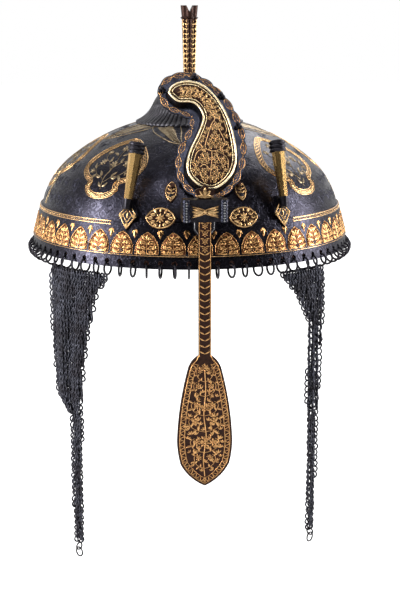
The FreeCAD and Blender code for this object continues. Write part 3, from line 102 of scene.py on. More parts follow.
@dataclass
class Relief:
    """Raised work on a flat chart: points across, up and out of it, their share of painted light, which falls to
    painted shade at the sunk foot, and the faces.
    """

    points: Array
    lit_share: Array
    faces: Array

    @staticmethod
    def joined(parts: Sequence["Relief"]) -> "Relief":
        """All the parts as one.

        Args:
            parts: the works to put together.

        Returns:
            One work.
        """
        starts = np.cumsum([0] + [len(part.points) for part in parts[:-1]])
        return Relief(np.concatenate([part.points for part in parts]),
                      np.concatenate([part.lit_share for part in parts]),
                      np.concatenate([part.faces + start for part, start in zip(parts, starts)]))

    def copies(self, places: Array, turns: Array | float = 0.0, scales: Array | float = 1.0,
               mirror: bool = False) -> "Relief":
        """Copies that are scaled, turned and moved: place + scale * turned point.

        Args:
            places: across and up of each copy.
            turns: anticlockwise turn of each copy, radians.
            scales: size of each copy.
            mirror: flip each copy left to right first.

        Returns:
            All the copies as one.
        """
        places = np.atleast_2d(np.asarray(places, float))
        count = len(places)
        turns = np.broadcast_to(turns, count)[:, None]
        scales = np.broadcast_to(scales, count)[:, None]
        flat = self.points * (-1.0 if mirror else 1.0, 1.0, 1.0)
        across = places[:, :1] + scales * (np.cos(turns) * flat[:, 0] - np.sin(turns) * flat[:, 1])
        up = places[:, 1:2] + scales * (np.sin(turns) * flat[:, 0] + np.cos(turns) * flat[:, 1])
        out = np.broadcast_to(flat[:, 2], across.shape)
        points = np.stack([across, up, out], axis=-1).reshape(-1, 3)
        faces = self.faces[:, ::-1] if mirror else self.faces
        numbered = faces[None] + np.arange(count)[:, None, None] * len(self.points)
        return Relief(points, np.tile(self.lit_share, count), numbered.reshape(-1, 4))

    def both(self) -> "Relief":
        """The work and its mirror image about the upright axis."""
        return Relief.joined([self, self.copies(np.zeros((1, 2)), mirror=True)])


def left_of(path: Array, closed: bool = False) -> Array:
    """Steps of one to the left of a path: the run between each point's neighbours, turned by a right angle.

    Args:
        path: points across and up.
        closed: the last point joins the first.

    Returns:
        A step for each point.
    """
    run = np.roll(path, -1, 0) - np.roll(path, 1, 0) if closed else np.gradient(path, axis=0)
    run = run / np.maximum(np.linalg.norm(run, axis=1, keepdims=True), 1e-9)
    return np.stack([-run[:, 1], run[:, 0]], axis=1)


def ribbon(path: Array, half: Array | float, rise: float, section: Section = Section.ROUND,
           closed: bool = False) -> Relief:
    """A raised line: its section, scaled by the half width, is set square to the path at each point.

    Args:
        path: points across and up.
        half: half width at each point.
        rise: height of the line's crest.
        section: shape across the line.
        closed: join the last point to the first.

    Returns:
        The line as raised work, with its edges sunk under the surface.
    """
    path = np.asarray(path, float)
    left = left_of(path, closed)
    across, lift = (np.array(shares) for shares in section.value)
    half = np.broadcast_to(half, len(path))
    flat = path[:, None, :] + left[:, None, :] * (across[None, :, None] * half[:, None, None])
    height = np.broadcast_to(lift * (rise + SINK) - SINK, flat.shape[:2])
    points = np.concatenate([flat, height[..., None]], axis=-1).reshape(-1, 3)
    # Share of painted light = the lift: 1 on the crest, 0 at the sunk edges, where the finish paints shade.
    lit_share = np.broadcast_to(lift, flat.shape[:2]).reshape(-1)
    return Relief(points, lit_share, grid_faces(len(path), len(across), close_rows=closed))


def leaf(length: float, width: float, curl: float = 0.0, rise: float = 0.28, steps: int = 8,
         section: Section = Section.ROUND, full: float = 0.8) -> Relief:
    """A leaf from the origin upwards: half width = width / 2 * sin(pi * t ** full) along an arc.

    Args:
        length: length along its rib.
        width: greatest width.
        curl: how far the rib turns clockwise along the leaf, radians.
        rise: height of the rib.
        steps: points along the rib.
        section: shape across the leaf.
        full: under 1 puts the widest place towards the foot.

    Returns:
        The leaf as raised work.
    """
    share = np.linspace(0.0, 1.0, steps)
    angle = curl * share
    step = length / (steps - 1)
    middle = (angle[1:] + angle[:-1]) / 2
    across = np.concatenate([[0.0], np.cumsum(np.sin(middle) * step)])
    up = np.concatenate([[0.0], np.cumsum(np.cos(middle) * step)])
    half = width / 2 * np.sin(np.pi * share ** full)
    return ribbon(np.stack([across, up], axis=1), half, rise, section)


def bead(radius: float, rise: float, sides: int = 8) -> Relief:
    """A low dome: height = rise * sqrt(1 - share of the radius squared).

    Args:
        radius: radius.
        rise: height of the work.
        sides: sides round it.

    Returns:
        The bead as raised work.
    """
    share = np.array([1.0, 0.8, 0.45, 0.0])
    angle = np.linspace(0.0, 2 * np.pi, sides, endpoint=False)
    lift = np.sqrt(1.0 - share ** 2)
    across = share[:, None] * radius * np.cos(angle)
    up = share[:, None] * radius * np.sin(angle)
    out = np.broadcast_to((lift * (rise + SINK) - SINK)[:, None], across.shape)
    points = np.stack([across, up, out], axis=-1).reshape(-1, 3)
    faces = grid_faces(len(share), sides, close_cols=True)[:, ::-1]
    # Share of painted light = the lift: 1 on the top, 0 at the sunk rim, where the finish paints shade.
    return Relief(points, np.repeat(lift, sides), faces)


def blossom(radius: float, petals: int = 6, rise: float = 0.3, steps: int = 5,
            section: Section = Section.ROUND) -> Relief:
    """A flower: petals set round a bead in the middle.

    Args:
        radius: outer radius.
        petals: number of petals.
        rise: height of the work.
        steps: points along a petal.
        section: shape across a line.

    Returns:
        The flower as raised work.
    """
    turns = np.arange(petals) * 2 * np.pi / petals
    petal = leaf(0.78 * radius, 1.75 * np.pi * 0.62 * radius / petals, rise=rise, steps=steps, section=section,
                 full=1.25)
    feet = np.stack([-np.sin(turns), np.cos(turns)], axis=1) * 0.22 * radius
    return Relief.joined([petal.copies(feet, turns), bead(0.3 * radius, 1.25 * rise)])


def scroll(reach: float) -> Relief:
    """A vine that winds in: radius falls evenly from reach to a fifth of it, with leaves outside it.

    Args:
        reach: outer radius of the winding.

    Returns:
        The scroll as raised work about its own centre.
    """
    turns, width, rise, steps, leaves = 1.35, 0.5, 0.16, 22, 4
    share = np.linspace(0.0, 1.0, steps)
    radius = reach * (1.0 - 0.8 * share)
    angle = 2 * np.pi * turns * share
    path = np.stack([radius * np.cos(angle), radius * np.sin(angle)], axis=1)
    vine = ribbon(path, width / 2 * (1.0 - 0.5 * share), rise, Section.KEEL)
    spots = np.linspace(0.08, 0.72, leaves)
    spot_radius = reach * (1.0 - 0.8 * spots)
    spot_angle = 2 * np.pi * turns * spots
    feet = np.stack([spot_radius * np.cos(spot_angle), spot_radius * np.sin(spot_angle)], axis=1)
    blade = leaf(0.55 * reach, 0.26 * reach, curl=-0.8, rise=rise, steps=6, section=Section.KEEL)
    outer = blade.copies(feet, spot_angle - 0.55, 1.0 - 0.4 * spots)
    inner = blade.copies(feet[1:], spot_angle[1:] + 2.2, 0.55)
    flower = blossom(0.3 * reach, 5, rise, 4, Section.KEEL)
    return Relief.joined([vine, outer, inner, flower])


def smooth_path(corners: Sequence[tuple[float, float]], closed: bool = False, steps: int = 8) -> Array:
    """A curve through the corners: a cubic between each pair, whose slope at a corner follows its neighbours.

    Args:
        corners: points that the curve goes through.
        closed: join the last to the first.
        steps: points to a span.

    Returns:
        Points across and up.
    """
    knots = np.asarray(corners, float)
    if closed:
        padded = np.concatenate([knots[-1:], knots, knots[:2]])
    else:
        padded = np.concatenate([2 * knots[:1] - knots[1:2], knots, 2 * knots[-1:] - knots[-2:-1]])
    share = np.linspace(0.0, 1.0, steps, endpoint=False)[None, :, None]
    a, b, c, d = (padded[i:len(padded) - 3 + i, None, :] for i in range(4))
    curve = 0.5 * (2 * b + (c - a) * share + (2 * a - 5 * b + 4 * c - d) * share ** 2
                   + (3 * b - a - 3 * c + d) * share ** 3)
    points = curve.reshape(-1, 2)
    return points if closed else np.concatenate([points, knots[-1:]])


def arc(start: Sequence[float], end: Sequence[float], radius: float, steps: int = 12) -> Array:
    """Points on an arc that bulges to the left of the run from start to end, the end left off.

    Args:
        start: first point.
        end: point that it runs to.
        radius: radius.
        steps: number of points.

    Returns:
        Points across and up.
    """
    start, end = np.asarray(start, float), np.asarray(end, float)
    run = end - start
    length = float(np.hypot(*run))
    left = np.array([-run[1], run[0]]) / length
    centre = (start + end) / 2 - left * math.sqrt(radius ** 2 - length ** 2 / 4)
    first = math.atan2(*(start - centre)[::-1])
    last = math.atan2(*(end - centre)[::-1])
    turn = (last - first + math.pi) % (2 * math.pi) - math.pi
    angle = first + turn * np.linspace(0.0, 1.0, steps, endpoint=False)
    return centre + radius * np.stack([np.cos(angle), np.sin(angle)], axis=1)


def inset(path: Array, depth: Array | float) -> Array:
    """A closed clockwise outline moved inwards, square to itself."""
    return path - left_of(path, closed=True) * np.broadcast_to(depth, len(path))[:, None]


def edge_distance(points: Array, outline: Array) -> Array:
    """Distance of each point from a closed outline's segments.

    Args:
        points: points across and up.
        outline: a closed outline.

    Returns:
        A distance for each point.
    """
    start = outline[None]
    run = (np.roll(outline, -1, 0) - outline)[None]
    offset = points[:, None, :2] - start
    share = np.clip((offset * run).sum(-1) / np.maximum((run ** 2).sum(-1), 1e-12), 0.0, 1.0)
    return np.linalg.norm(offset - run * share[..., None], axis=-1).min(axis=1)


def inside(points: Array, outline: Array) -> Array:
    """Which points lie inside a closed outline, by counting the edges to their right.

    Args:
        points: points across and up.
        outline: a closed outline.

    Returns:
        True for each point that lies inside.
    """
    x, y = points[:, 0, None], points[:, 1, None]
    x0, y0 = outline[:, 0], outline[:, 1]
    x1, y1 = np.roll(x0, -1), np.roll(y0, -1)
    crosses = (y0 > y) != (y1 > y)
    at = x0 + (y - y0) * (x1 - x0) / np.where(y1 == y0, 1e-12, y1 - y0)
    return (crosses & (x < at)).sum(axis=1) % 2 == 1


def scattered(outline: Array, pitch: float, margin: float, rng: np.random.Generator, jitter: float) -> Array:
    """Places on a hexagonal net inside an outline, clear of its edge by a margin.

    Args:
        outline: a closed outline.
        pitch: distance between places.
        margin: least distance from the edge.
        rng: the seeded generator.
        jitter: most that a place strays.

    Returns:
        Places across and up.
    """
    low, high = outline.min(0), outline.max(0)
    rows = np.arange(low[1], high[1], pitch * 0.87)
    cols = np.arange(low[0], high[0], pitch)
    across = cols[None, :] + (np.arange(len(rows)) % 2)[:, None] * pitch / 2
    net = np.stack([across, np.broadcast_to(rows[:, None], across.shape)], axis=-1).reshape(-1, 2)
    net = net + rng.uniform(-jitter, jitter, net.shape)
    return net[inside(net, outline) & (edge_distance(net, outline) > margin)]


# Charts that carry raised work onto the object

class Chart(Protocol):
    """Carries flat millimetres onto a surface of the object."""

    def place(self, across: Array, up: Array, out: Array) -> Array:
        """Points in the object's frame, millimetres."""


@dataclass
class BowlShape:
    """The bowl's outer surface: a straight flare, a side arc and a crown arc, turned about Z."""

    rim_radius: float = 104.0
    flare_angle: float = math.radians(15.0)
    flare_height: float = 27.0
    side_radius: float = 55.0
    crown_height: float = 83.0

    def __post_init__(self) -> None:
        """Works out the arcs' centres and the lengths along the surface where they meet."""
        self.side_r = (self.rim_radius - self.flare_height * math.tan(self.flare_angle)
                       - self.side_radius * math.cos(self.flare_angle))
        self.side_z = self.flare_height - self.side_radius * math.sin(self.flare_angle)
        rise = self.crown_height - self.side_z
        self.crown_radius = (self.side_r ** 2 + rise ** 2 - self.side_radius ** 2) / (2 * (rise - self.side_radius))
        self.crown_z = self.crown_height - self.crown_radius
        self.turn = math.atan2(self.side_z - self.crown_z, self.side_r)
        self.flare_long = self.flare_height / math.cos(self.flare_angle)
        self.side_long = self.flare_long + self.side_radius * (self.turn - self.flare_angle)

    def meridian(self, along: Array) -> tuple[Array, Array, Array]:
        """Radius, height and slope at a length up the surface from the lower edge.

        Args:
            along: lengths up the surface.

        Returns:
            Radii, heights and slopes.
        """
        along = np.asarray(along, float)
        side_slope = self.flare_angle + (along - self.flare_long) / self.side_radius
        crown_slope = self.turn + (along - self.side_long) / self.crown_radius
        pieces = [along <= self.flare_long, along <= self.side_long]
        slope = np.select(pieces, [np.full_like(along, self.flare_angle), side_slope], crown_slope)
        radius = np.select(pieces, [self.rim_radius - along * math.sin(self.flare_angle),
                                    self.side_r + self.side_radius * np.cos(side_slope)],
                           self.crown_radius * np.cos(crown_slope))
        height = np.select(pieces, [along * math.cos(self.flare_angle),
                                    self.side_z + self.side_radius * np.sin(side_slope)],
                           self.crown_z + self.crown_radius * np.sin(crown_slope))
        return radius, height, slope

    def along(self, height: float) -> float:
        """Length up the surface at a height.

        Args:
            height: height above the edge.

        Returns:
            The length.
        """
        if height <= self.flare_height:
            return height / math.cos(self.flare_angle)
        side = self.side_z + self.side_radius * math.sin(self.turn)
        if height <= side:
            slope = math.asin((height - self.side_z) / self.side_radius)
            return self.flare_long + self.side_radius * (slope - self.flare_angle)
        return self.side_long + self.crown_radius * (math.asin((height - self.crown_z) / self.crown_radius)
                                                     - self.turn)

    def point(self, azimuth: Array, along: Array, out: Array | float) -> Array:
        """Point = meridian point moved out square to the surface, turned to its azimuth.

        Args:
            azimuth: azimuths, radians.
            along: lengths up the surface.
            out: distances out of it.

        Returns:
            Points in the object's frame, millimetres.
        """
        radius, height, slope = self.meridian(along)
        reach = radius + out * np.cos(slope)
        return np.stack([reach * np.sin(azimuth), -reach * np.cos(azimuth), height + out * np.sin(slope)], axis=-1)


BOWL = BowlShape()


@dataclass
class BowlChart:
    """A patch of the bowl round one point: across follows the parallels, up follows the meridian."""

    azimuth: float
    along: float
    offset: float = 0.0
    spread: float | None = None

    def place(self, across: Array, up: Array, out: Array) -> Array:
        """Azimuth = middle + across / radius there, or / spread where that is set.

        Args:
            across: places across.
            up: places up.
            out: heights.

        Returns:
            Points in the object's frame, millimetres.
        """
        along = self.along + up
        radius = BOWL.meridian(along)[0] if self.spread is None else self.spread
        return BOWL.point(math.radians(self.azimuth) + across / radius, along, self.offset + out)


@dataclass
class PlaneChart:
    """A flat face: origin + across * first direction + up * second + out * their cross product."""

    origin: tuple[float, float, float]
    across_way: tuple[float, float, float] = (1.0, 0.0, 0.0)
    up_way: tuple[float, float, float] = (0.0, 0.0, 1.0)
    dome: Callable[[Array, Array], Array] | None = None

    def place(self, across: Array, up: Array, out: Array) -> Array:
        """The point on the face, raised by the face's own doming where it has one.

        Args:
            across: places across.
            up: places up.
            out: heights.

        Returns:
            Points in the object's frame, millimetres.
        """
        out_way = np.cross(self.across_way, self.up_way)
        if self.dome is not None:
            out = out + self.dome(across, up)
        return (np.asarray(self.origin) + across[:, None] * np.asarray(self.across_way)
                + up[:, None] * np.asarray(self.up_way) + out[:, None] * out_way)


# Pieces

def new_piece(name: str, points: Array, faces: Array, body: str, finish: Material,
              lit_share: Array | None = None, replaces: Sequence[str] = ()) -> bpy.types.Object:
    """Puts points and faces into a piece that rides on a body.

    Args:
        name: the piece's name.
        points: millimetres in the object's frame.
        faces: point numbers, three or four to a face, turned outwards.
        body: the CAD body that it rides on.
        finish: its material.
        lit_share: share of painted light at each point, for the material; where it is low the material paints shade.
        replaces: CAD nodes that it stands for.

    Returns:
        The piece.
    """
    mesh = bpy.data.meshes.new(name)
    mesh.from_pydata((points * MM).tolist(), [], faces.tolist())
    if lit_share is not None:
        layer = mesh.attributes.new("lit_share", "FLOAT", "POINT")
        layer.data.foreach_set("value", np.ascontiguousarray(lit_share, dtype=np.float32))
    work = bmesh.new()
    work.from_mesh(mesh)
    bmesh.ops.remove_doubles(work, verts=work.verts, dist=MERGE)
    work.to_mesh(mesh)
    work.free()
    mesh.polygons.foreach_set("use_smooth", np.ones(len(mesh.polygons), dtype=bool))
    mesh.materials.append(finish)
    piece = bpy.data.objects.new(name, mesh)
    bpy.context.scene.collection.objects.link(piece)
    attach(piece, body)
    if replaces:
        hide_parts(*replaces)
    LOG.info("piece %s: %d faces on %s", name, len(mesh.polygons), body)
    return piece


def lay(name: str, work: Relief, chart: Chart, body: str,
        finish: Material) -> bpy.types.Object:
    """Carries raised work onto the object through a chart and makes it a piece."""
    return lay_all(name, [(work, chart)], body, finish)


def lay_all(name: str, works: Sequence[tuple[Relief, Chart]], body: str,
            finish: Material) -> bpy.types.Object:
    """Carries several works, each through its own chart, into one piece.

    Args:
        name: the piece's name.
        works: each work with its chart.
        body: the CAD body that it rides on.
        finish: the material.

    Returns:
        The piece.
    """
    placed = [chart.place(*work.points.T) for work, chart in works]
    starts = np.cumsum([0] + [len(points) for points in placed[:-1]])
    faces = np.concatenate([work.faces + start for (work, _), start in zip(works, starts)])
    lit_share = np.concatenate([work.lit_share for work, _ in works])
    return new_piece(name, np.concatenate(placed), faces, body, finish, lit_share)


def dress(nodes: Sequence[str], finish: Material) -> None:
    """Gives CAD nodes a material in their own material slots.

    Args:
        nodes: names of the CAD nodes.
        finish: the material.
    """
    for name in nodes:
        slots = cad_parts[name].material_slots
        for slot in slots:
            slot.material = finish
        if not slots:
            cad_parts[name].data.materials.append(finish)
        LOG.info("dressed %s", name)


# Effects that several finishes share

def new_group(name: str, inputs: dict[str, float], outputs: Sequence[str],
              fill: Callable[[Tree, Node, Node], None]) -> Tree:
    """A shader node group with number inputs and outputs.

    Args:
        name: the group's name.
        inputs: names and usual values.
        outputs: names.
        fill: puts the nodes between the group's input and output nodes.

    Returns:
        The group.
    """
    group = bpy.data.node_groups.new(name, "ShaderNodeTree")
    for key, value in inputs.items():
        socket = group.interface.new_socket(name=key, in_out="INPUT", socket_type="NodeSocketFloat")
        socket.default_value = value
    for key in outputs:
        group.interface.new_socket(name=key, in_out="OUTPUT", socket_type="NodeSocketFloat")
    fill(group, group.nodes.new("NodeGroupInput"), group.nodes.new("NodeGroupOutput"))
    return group


def sum_node(tree: Tree, operation: str, first: Socket | float,
             second: Socket | float = 0.0, third: Socket | float = 0.0,
             clamp: bool = False) -> Socket:
    """A Math node on sockets or numbers.

    Args:
        tree: the node tree that it goes into.
        operation: the sum.
        first: first value.
        second: second value.
        third: third value.
        clamp: hold the result between 0 and 1.

    Returns:
        The result's socket.
    """
    node = tree.nodes.new("ShaderNodeMath")
    node.operation = operation
    node.use_clamp = clamp
    for socket, value in zip(node.inputs, (first, second, third)):
        if isinstance(value, (int, float)):
            socket.default_value = value
        else:
            tree.links.new(value, socket)
    return node.outputs[0]


def spread_node(tree: Tree, value: Socket, low: float, high: float, start: float,
                end: float) -> Socket:
    """A Map Range node from low..high to start..end, held at its ends.

    Args:
        tree: the node tree that it goes into.
        value: the value's socket.
        low: least value.
        high: greatest value.
        start: result at the least.
        end: result at the greatest.

    Returns:
        The result's socket.
    """
    node = tree.nodes.new("ShaderNodeMapRange")
    tree.links.new(value, node.inputs["Value"])
    for key, number in (("From Min", low), ("From Max", high), ("To Min", start), ("To Max", end)):
        node.inputs[key].default_value = number
    return node.outputs["Result"]


def place_node(tree: Tree, stretch: Sequence[float] = (1.0, 1.0, 1.0)) -> Socket:
    """Object coordinates in millimetres, stretched.

    Args:
        tree: the node tree that it goes into.
        stretch: scale along each axis.

    Returns:
        The place's socket.
    """
    coordinates = tree.nodes.new("ShaderNodeTexCoord")
    mapping = tree.nodes.new("ShaderNodeMapping")
    mapping.inputs["Scale"].default_value = [1000.0 * share for share in stretch]
    tree.links.new(coordinates.outputs["Object"], mapping.inputs["Vector"])
    return mapping.outputs["Vector"]


def noise_node(tree: Tree, place: Socket, scale: Socket | float,
               detail: float = 3.0, roughness: float = 0.55, distortion: float = 0.0) -> Socket:
    """A Noise Texture's value.

    Args:
        tree: the node tree that it goes into.
        place: the place's socket.
        scale: size of the noise, per millimetre.
        detail: layers of finer noise.
        roughness: strength of the finer layers.
        distortion: how far it is bent.

    Returns:
        The noise's socket.
    """
    node = tree.nodes.new("ShaderNodeTexNoise")
    tree.links.new(place, node.inputs["Vector"])
    if isinstance(scale, (int, float)):
        node.inputs["Scale"].default_value = scale
    else:
        tree.links.new(scale, node.inputs["Scale"])
    node.inputs["Detail"].default_value = detail
    node.inputs["Roughness"].default_value = roughness
    node.inputs["Distortion"].default_value = distortion
    return node.outputs["Fac"]


def mix_node(tree: Tree, share: Socket, first: Sequence[float],
             second: Sequence[float]) -> Socket:
    """A Mix node from the first colour to the second.

    Args:
        tree: the node tree that it goes into.
        share: share of the second colour.
        first: first colour.
        second: second colour.

    Returns:
        The colour's socket.
    """
    node = tree.nodes.new("ShaderNodeMix")
    node.data_type = "RGBA"
    tree.links.new(share, node.inputs["Factor"])
    node.inputs["A"].default_value = (*first, 1.0)
    node.inputs["B"].default_value = (*second, 1.0)
    return node.outputs["Result"]


def bump_node(tree: Tree, height: Socket) -> Socket:
    """A Bump node's normal, from a height in millimetres.

    Args:
        tree: the node tree that it goes into.
        height: the height's socket.

    Returns:
        The normal's socket.
    """
    node = tree.nodes.new("ShaderNodeBump")
    node.inputs["Distance"].default_value = MM
    tree.links.new(height, node.inputs["Height"])
    return node.outputs["Normal"]


def group_node(tree: Tree, kind: Tree, **values: float) -> Node:
    """A node that holds a shared group, with its own values.

    Args:
        tree: the node tree that it goes into.
        kind: the group.
        **values: its inputs' values.

    Returns:
        The node.
    """
    node = tree.nodes.new("ShaderNodeGroup")
    node.node_tree = kind
    for key, value in values.items():
        node.inputs[key].default_value = value
    return node


class Effects:
    """The node groups that the finishes share, each built once."""

    def __init__(self) -> None:
        """Builds the groups."""
        self.tarnish = new_group("tarnish", {"Scale": 0.12, "Low": 0.42, "High": 0.62}, ("Mask",), self.fill_tarnish)
        self.grain = new_group("metal grain", {"Scale": 2.2, "Scratches": 0.5}, ("Height", "Mask"), self.fill_grain)
        self.chasing = new_group("chased scrollwork", {"Scale": 0.3}, ("Height", "Mask"), self.fill_chasing)

    @staticmethod
    def fill_tarnish(tree: Tree, given: Node, result: Node) -> None:
        """Mask = two sizes of noise, mixed and spread between Low and High.

        Args:
            tree: the node tree that it goes into.
            given: the group's input node.
            result: the group's output node.
        """
        place = place_node(tree)
        broad = noise_node(tree, place, given.outputs["Scale"], 4.0, 0.6)
        fine_scale = sum_node(tree, "MULTIPLY", given.outputs["Scale"], 7.0)
        fine = noise_node(tree, place, fine_scale, 3.0, 0.6)
        mixed = sum_node(tree, "MULTIPLY_ADD", fine, 0.35, sum_node(tree, "MULTIPLY", broad, 0.65))
        node = tree.nodes.new("ShaderNodeMapRange")
        node.interpolation_type = "SMOOTHSTEP"
        tree.links.new(mixed, node.inputs["Value"])
        tree.links.new(given.outputs["Low"], node.inputs["From Min"])
        tree.links.new(given.outputs["High"], node.inputs["From Max"])
        tree.links.new(node.outputs["Result"], result.inputs["Mask"])

    @staticmethod
    def fill_grain(tree: Tree, given: Node, result: Node) -> None:
        """Height = fine pitting plus long scratches, Mask = the scratches alone.

        Args:
            tree: the node tree that it goes into.
            given: the group's input node.
            result: the group's output node.
        """
        pits = noise_node(tree, place_node(tree), given.outputs["Scale"], 4.0, 0.6)
        lines = noise_node(tree, place_node(tree, (0.25, 1.6, 0.12)), 3.5, 2.0, 0.5, 0.4)
        scratch = spread_node(tree, lines, 0.55, 0.68, 0.0, 1.0)
        marks = sum_node(tree, "MULTIPLY", scratch, given.outputs["Scratches"])
        tree.links.new(sum_node(tree, "SUBTRACT", pits, marks), result.inputs["Height"])
        tree.links.new(marks, result.inputs["Mask"])

    @staticmethod
    def fill_chasing(tree: Tree, given: Node, result: Node) -> None:
        """Curled bands: rings round scattered cells, bent by noise, with a fine stipple between them.

        Args:
            tree: the node tree that it goes into.
            given: the group's input node.
            result: the group's output node.
        """
        place = place_node(tree)
        bend = tree.nodes.new("ShaderNodeTexNoise")
        tree.links.new(place, bend.inputs["Vector"])
        bend.inputs["Scale"].default_value = 0.16
        shifted = tree.nodes.new("ShaderNodeVectorMath")
        shifted.operation = "MULTIPLY_ADD"
        tree.links.new(bend.outputs["Color"], shifted.inputs[0])
        shifted.inputs[1].default_value = (5.0, 5.0, 5.0)
        tree.links.new(place, shifted.inputs[2])
        cells = tree.nodes.new("ShaderNodeTexVoronoi")
        tree.links.new(shifted.outputs["Vector"], cells.inputs["Vector"])
        tree.links.new(given.outputs["Scale"], cells.inputs["Scale"])
        rings = sum_node(tree, "SINE", sum_node(tree, "MULTIPLY", cells.outputs["Distance"], 17.0))
        bands = spread_node(tree, rings, -0.2, 0.5, 0.0, 1.0)
        stipple = noise_node(tree, place, 2.6, 2.0, 0.7)
        height = sum_node(tree, "MULTIPLY_ADD", stipple, 0.5, bands)
        tree.links.new(height, result.inputs["Height"])
        tree.links.new(bands, result.inputs["Mask"])


# Finishes

@dataclass(frozen=True)
class MetalFinish:
    """A worked metal: bright and dark colours, mixed by tarnish, by painted shade at the sunk foot of raised work and
    by painted shade in the chased grooves.
    """

    name: str
    bright: tuple[float, float, float]
    tarnish_and_shade: tuple[float, float, float]
    metallic: float = 1.0
    smooth: float = 0.25
    rough: float = 0.5
    tarnish_scale: float = 0.12
    tarnish_low: float = 0.40
    tarnish_high: float = 0.66
    grain_scale: float = 2.2
    scratches: float = 0.5
    grain_depth: float = 0.03
    chasing: float = 0.0
    groove_shade_floor: float = 0.45
    chasing_depth: float = 0.0
    paints_foot_shade: bool = False

    def build(self, effects: Effects) -> Material:
        """Makes the material.

        Args:
            effects: the shared node groups.

        Returns:
            The material.
        """
        material = bpy.data.materials.new(self.name)
        material.use_nodes = True
        tree = material.node_tree
        shader = tree.nodes["Principled BSDF"]
        shader.inputs["Metallic"].default_value = self.metallic
        tarnish = group_node(tree, effects.tarnish, Scale=self.tarnish_scale, Low=self.tarnish_low,
                             High=self.tarnish_high)
        grain = group_node(tree, effects.grain, Scale=self.grain_scale, Scratches=self.scratches)

        clean_and_lit = sum_node(tree, "SUBTRACT", 1.0, sum_node(tree, "MULTIPLY", tarnish.outputs["Mask"], 0.75))
        height = sum_node(tree, "MULTIPLY", grain.outputs["Height"], self.grain_depth)
        # Painted shade: the colour darkens and roughens where the share of painted light falls, at the sunk foot of
        # raised work and in the finial's flutes.
        if self.paints_foot_shade:
            lit_share = tree.nodes.new("ShaderNodeAttribute")
            lit_share.attribute_name = "lit_share"
            foot_shade = spread_node(tree, lit_share.outputs["Fac"], 0.1, 0.8, 0.12, 1.0)
            clean_and_lit = sum_node(tree, "MULTIPLY", clean_and_lit, foot_shade)
        # Painted shade: the chased grooves, low in the bump, take the darker colour and the rougher gloss.
        if self.chasing:
            chasing = group_node(tree, effects.chasing, Scale=self.chasing)
            groove_shade = spread_node(tree, chasing.outputs["Mask"], 0.0, 1.0, self.groove_shade_floor, 1.0)
            clean_and_lit = sum_node(tree, "MULTIPLY", clean_and_lit, groove_shade)
            height = sum_node(tree, "MULTIPLY_ADD", chasing.outputs["Height"], self.chasing_depth, height)

        tree.links.new(mix_node(tree, clean_and_lit, self.tarnish_and_shade, self.bright), shader.inputs["Base Color"])
        gloss = spread_node(tree, clean_and_lit, 0.0, 1.0, self.rough, self.smooth)
        tree.links.new(gloss, shader.inputs["Roughness"])
        tree.links.new(bump_node(tree, height), shader.inputs["Normal"])
        return material


@dataclass(frozen=True)
class ClothFinish:
    """Quilted cotton: a plain weave in two threads, faded and soiled."""

    name: str = "quilted cotton"
    colour: tuple[float, float, float] = (0.15, 0.045, 0.035)
    faded: tuple[float, float, float] = (0.22, 0.11, 0.08)
    threads: float = 1.6
    depth: float = 0.09
    soil_scale: float = 0.05
    sheen: float = 0.25

    def build(self, effects: Effects) -> Material:
        """Makes the material.

        Args:
            effects: the shared node groups.

        Returns:
            The material.
        """
        material = bpy.data.materials.new(self.name)
        material.use_nodes = True
        tree = material.node_tree
        shader = tree.nodes["Principled BSDF"]
        shader.inputs["Sheen Weight"].default_value = self.sheen
        tarnish = group_node(tree, effects.tarnish, Scale=self.soil_scale)
        coordinates = tree.nodes.new("ShaderNodeUVMap")
        coordinates.uv_map = "threads"
        apart = tree.nodes.new("ShaderNodeSeparateXYZ")
        tree.links.new(coordinates.outputs["UV"], apart.inputs["Vector"])
        turns = 2 * math.pi * self.threads
        warp = sum_node(tree, "SINE", sum_node(tree, "MULTIPLY", apart.outputs["X"], turns))
        weft = sum_node(tree, "SINE", sum_node(tree, "MULTIPLY", apart.outputs["Y"], turns))
        weave = sum_node(tree, "MULTIPLY_ADD", warp, weft, 1.0)
        fade = sum_node(tree, "MULTIPLY_ADD", weave, 0.2, tarnish.outputs["Mask"], clamp=True)
        tree.links.new(mix_node(tree, fade, self.colour, self.faded), shader.inputs["Base Color"])
        rough = spread_node(tree, tarnish.outputs["Mask"], 0.0, 1.0, 0.8, 0.95)
        tree.links.new(rough, shader.inputs["Roughness"])
        raised = sum_node(tree, "MULTIPLY", weave, self.depth)
        tree.links.new(bump_node(tree, raised), shader.inputs["Normal"])
        return material


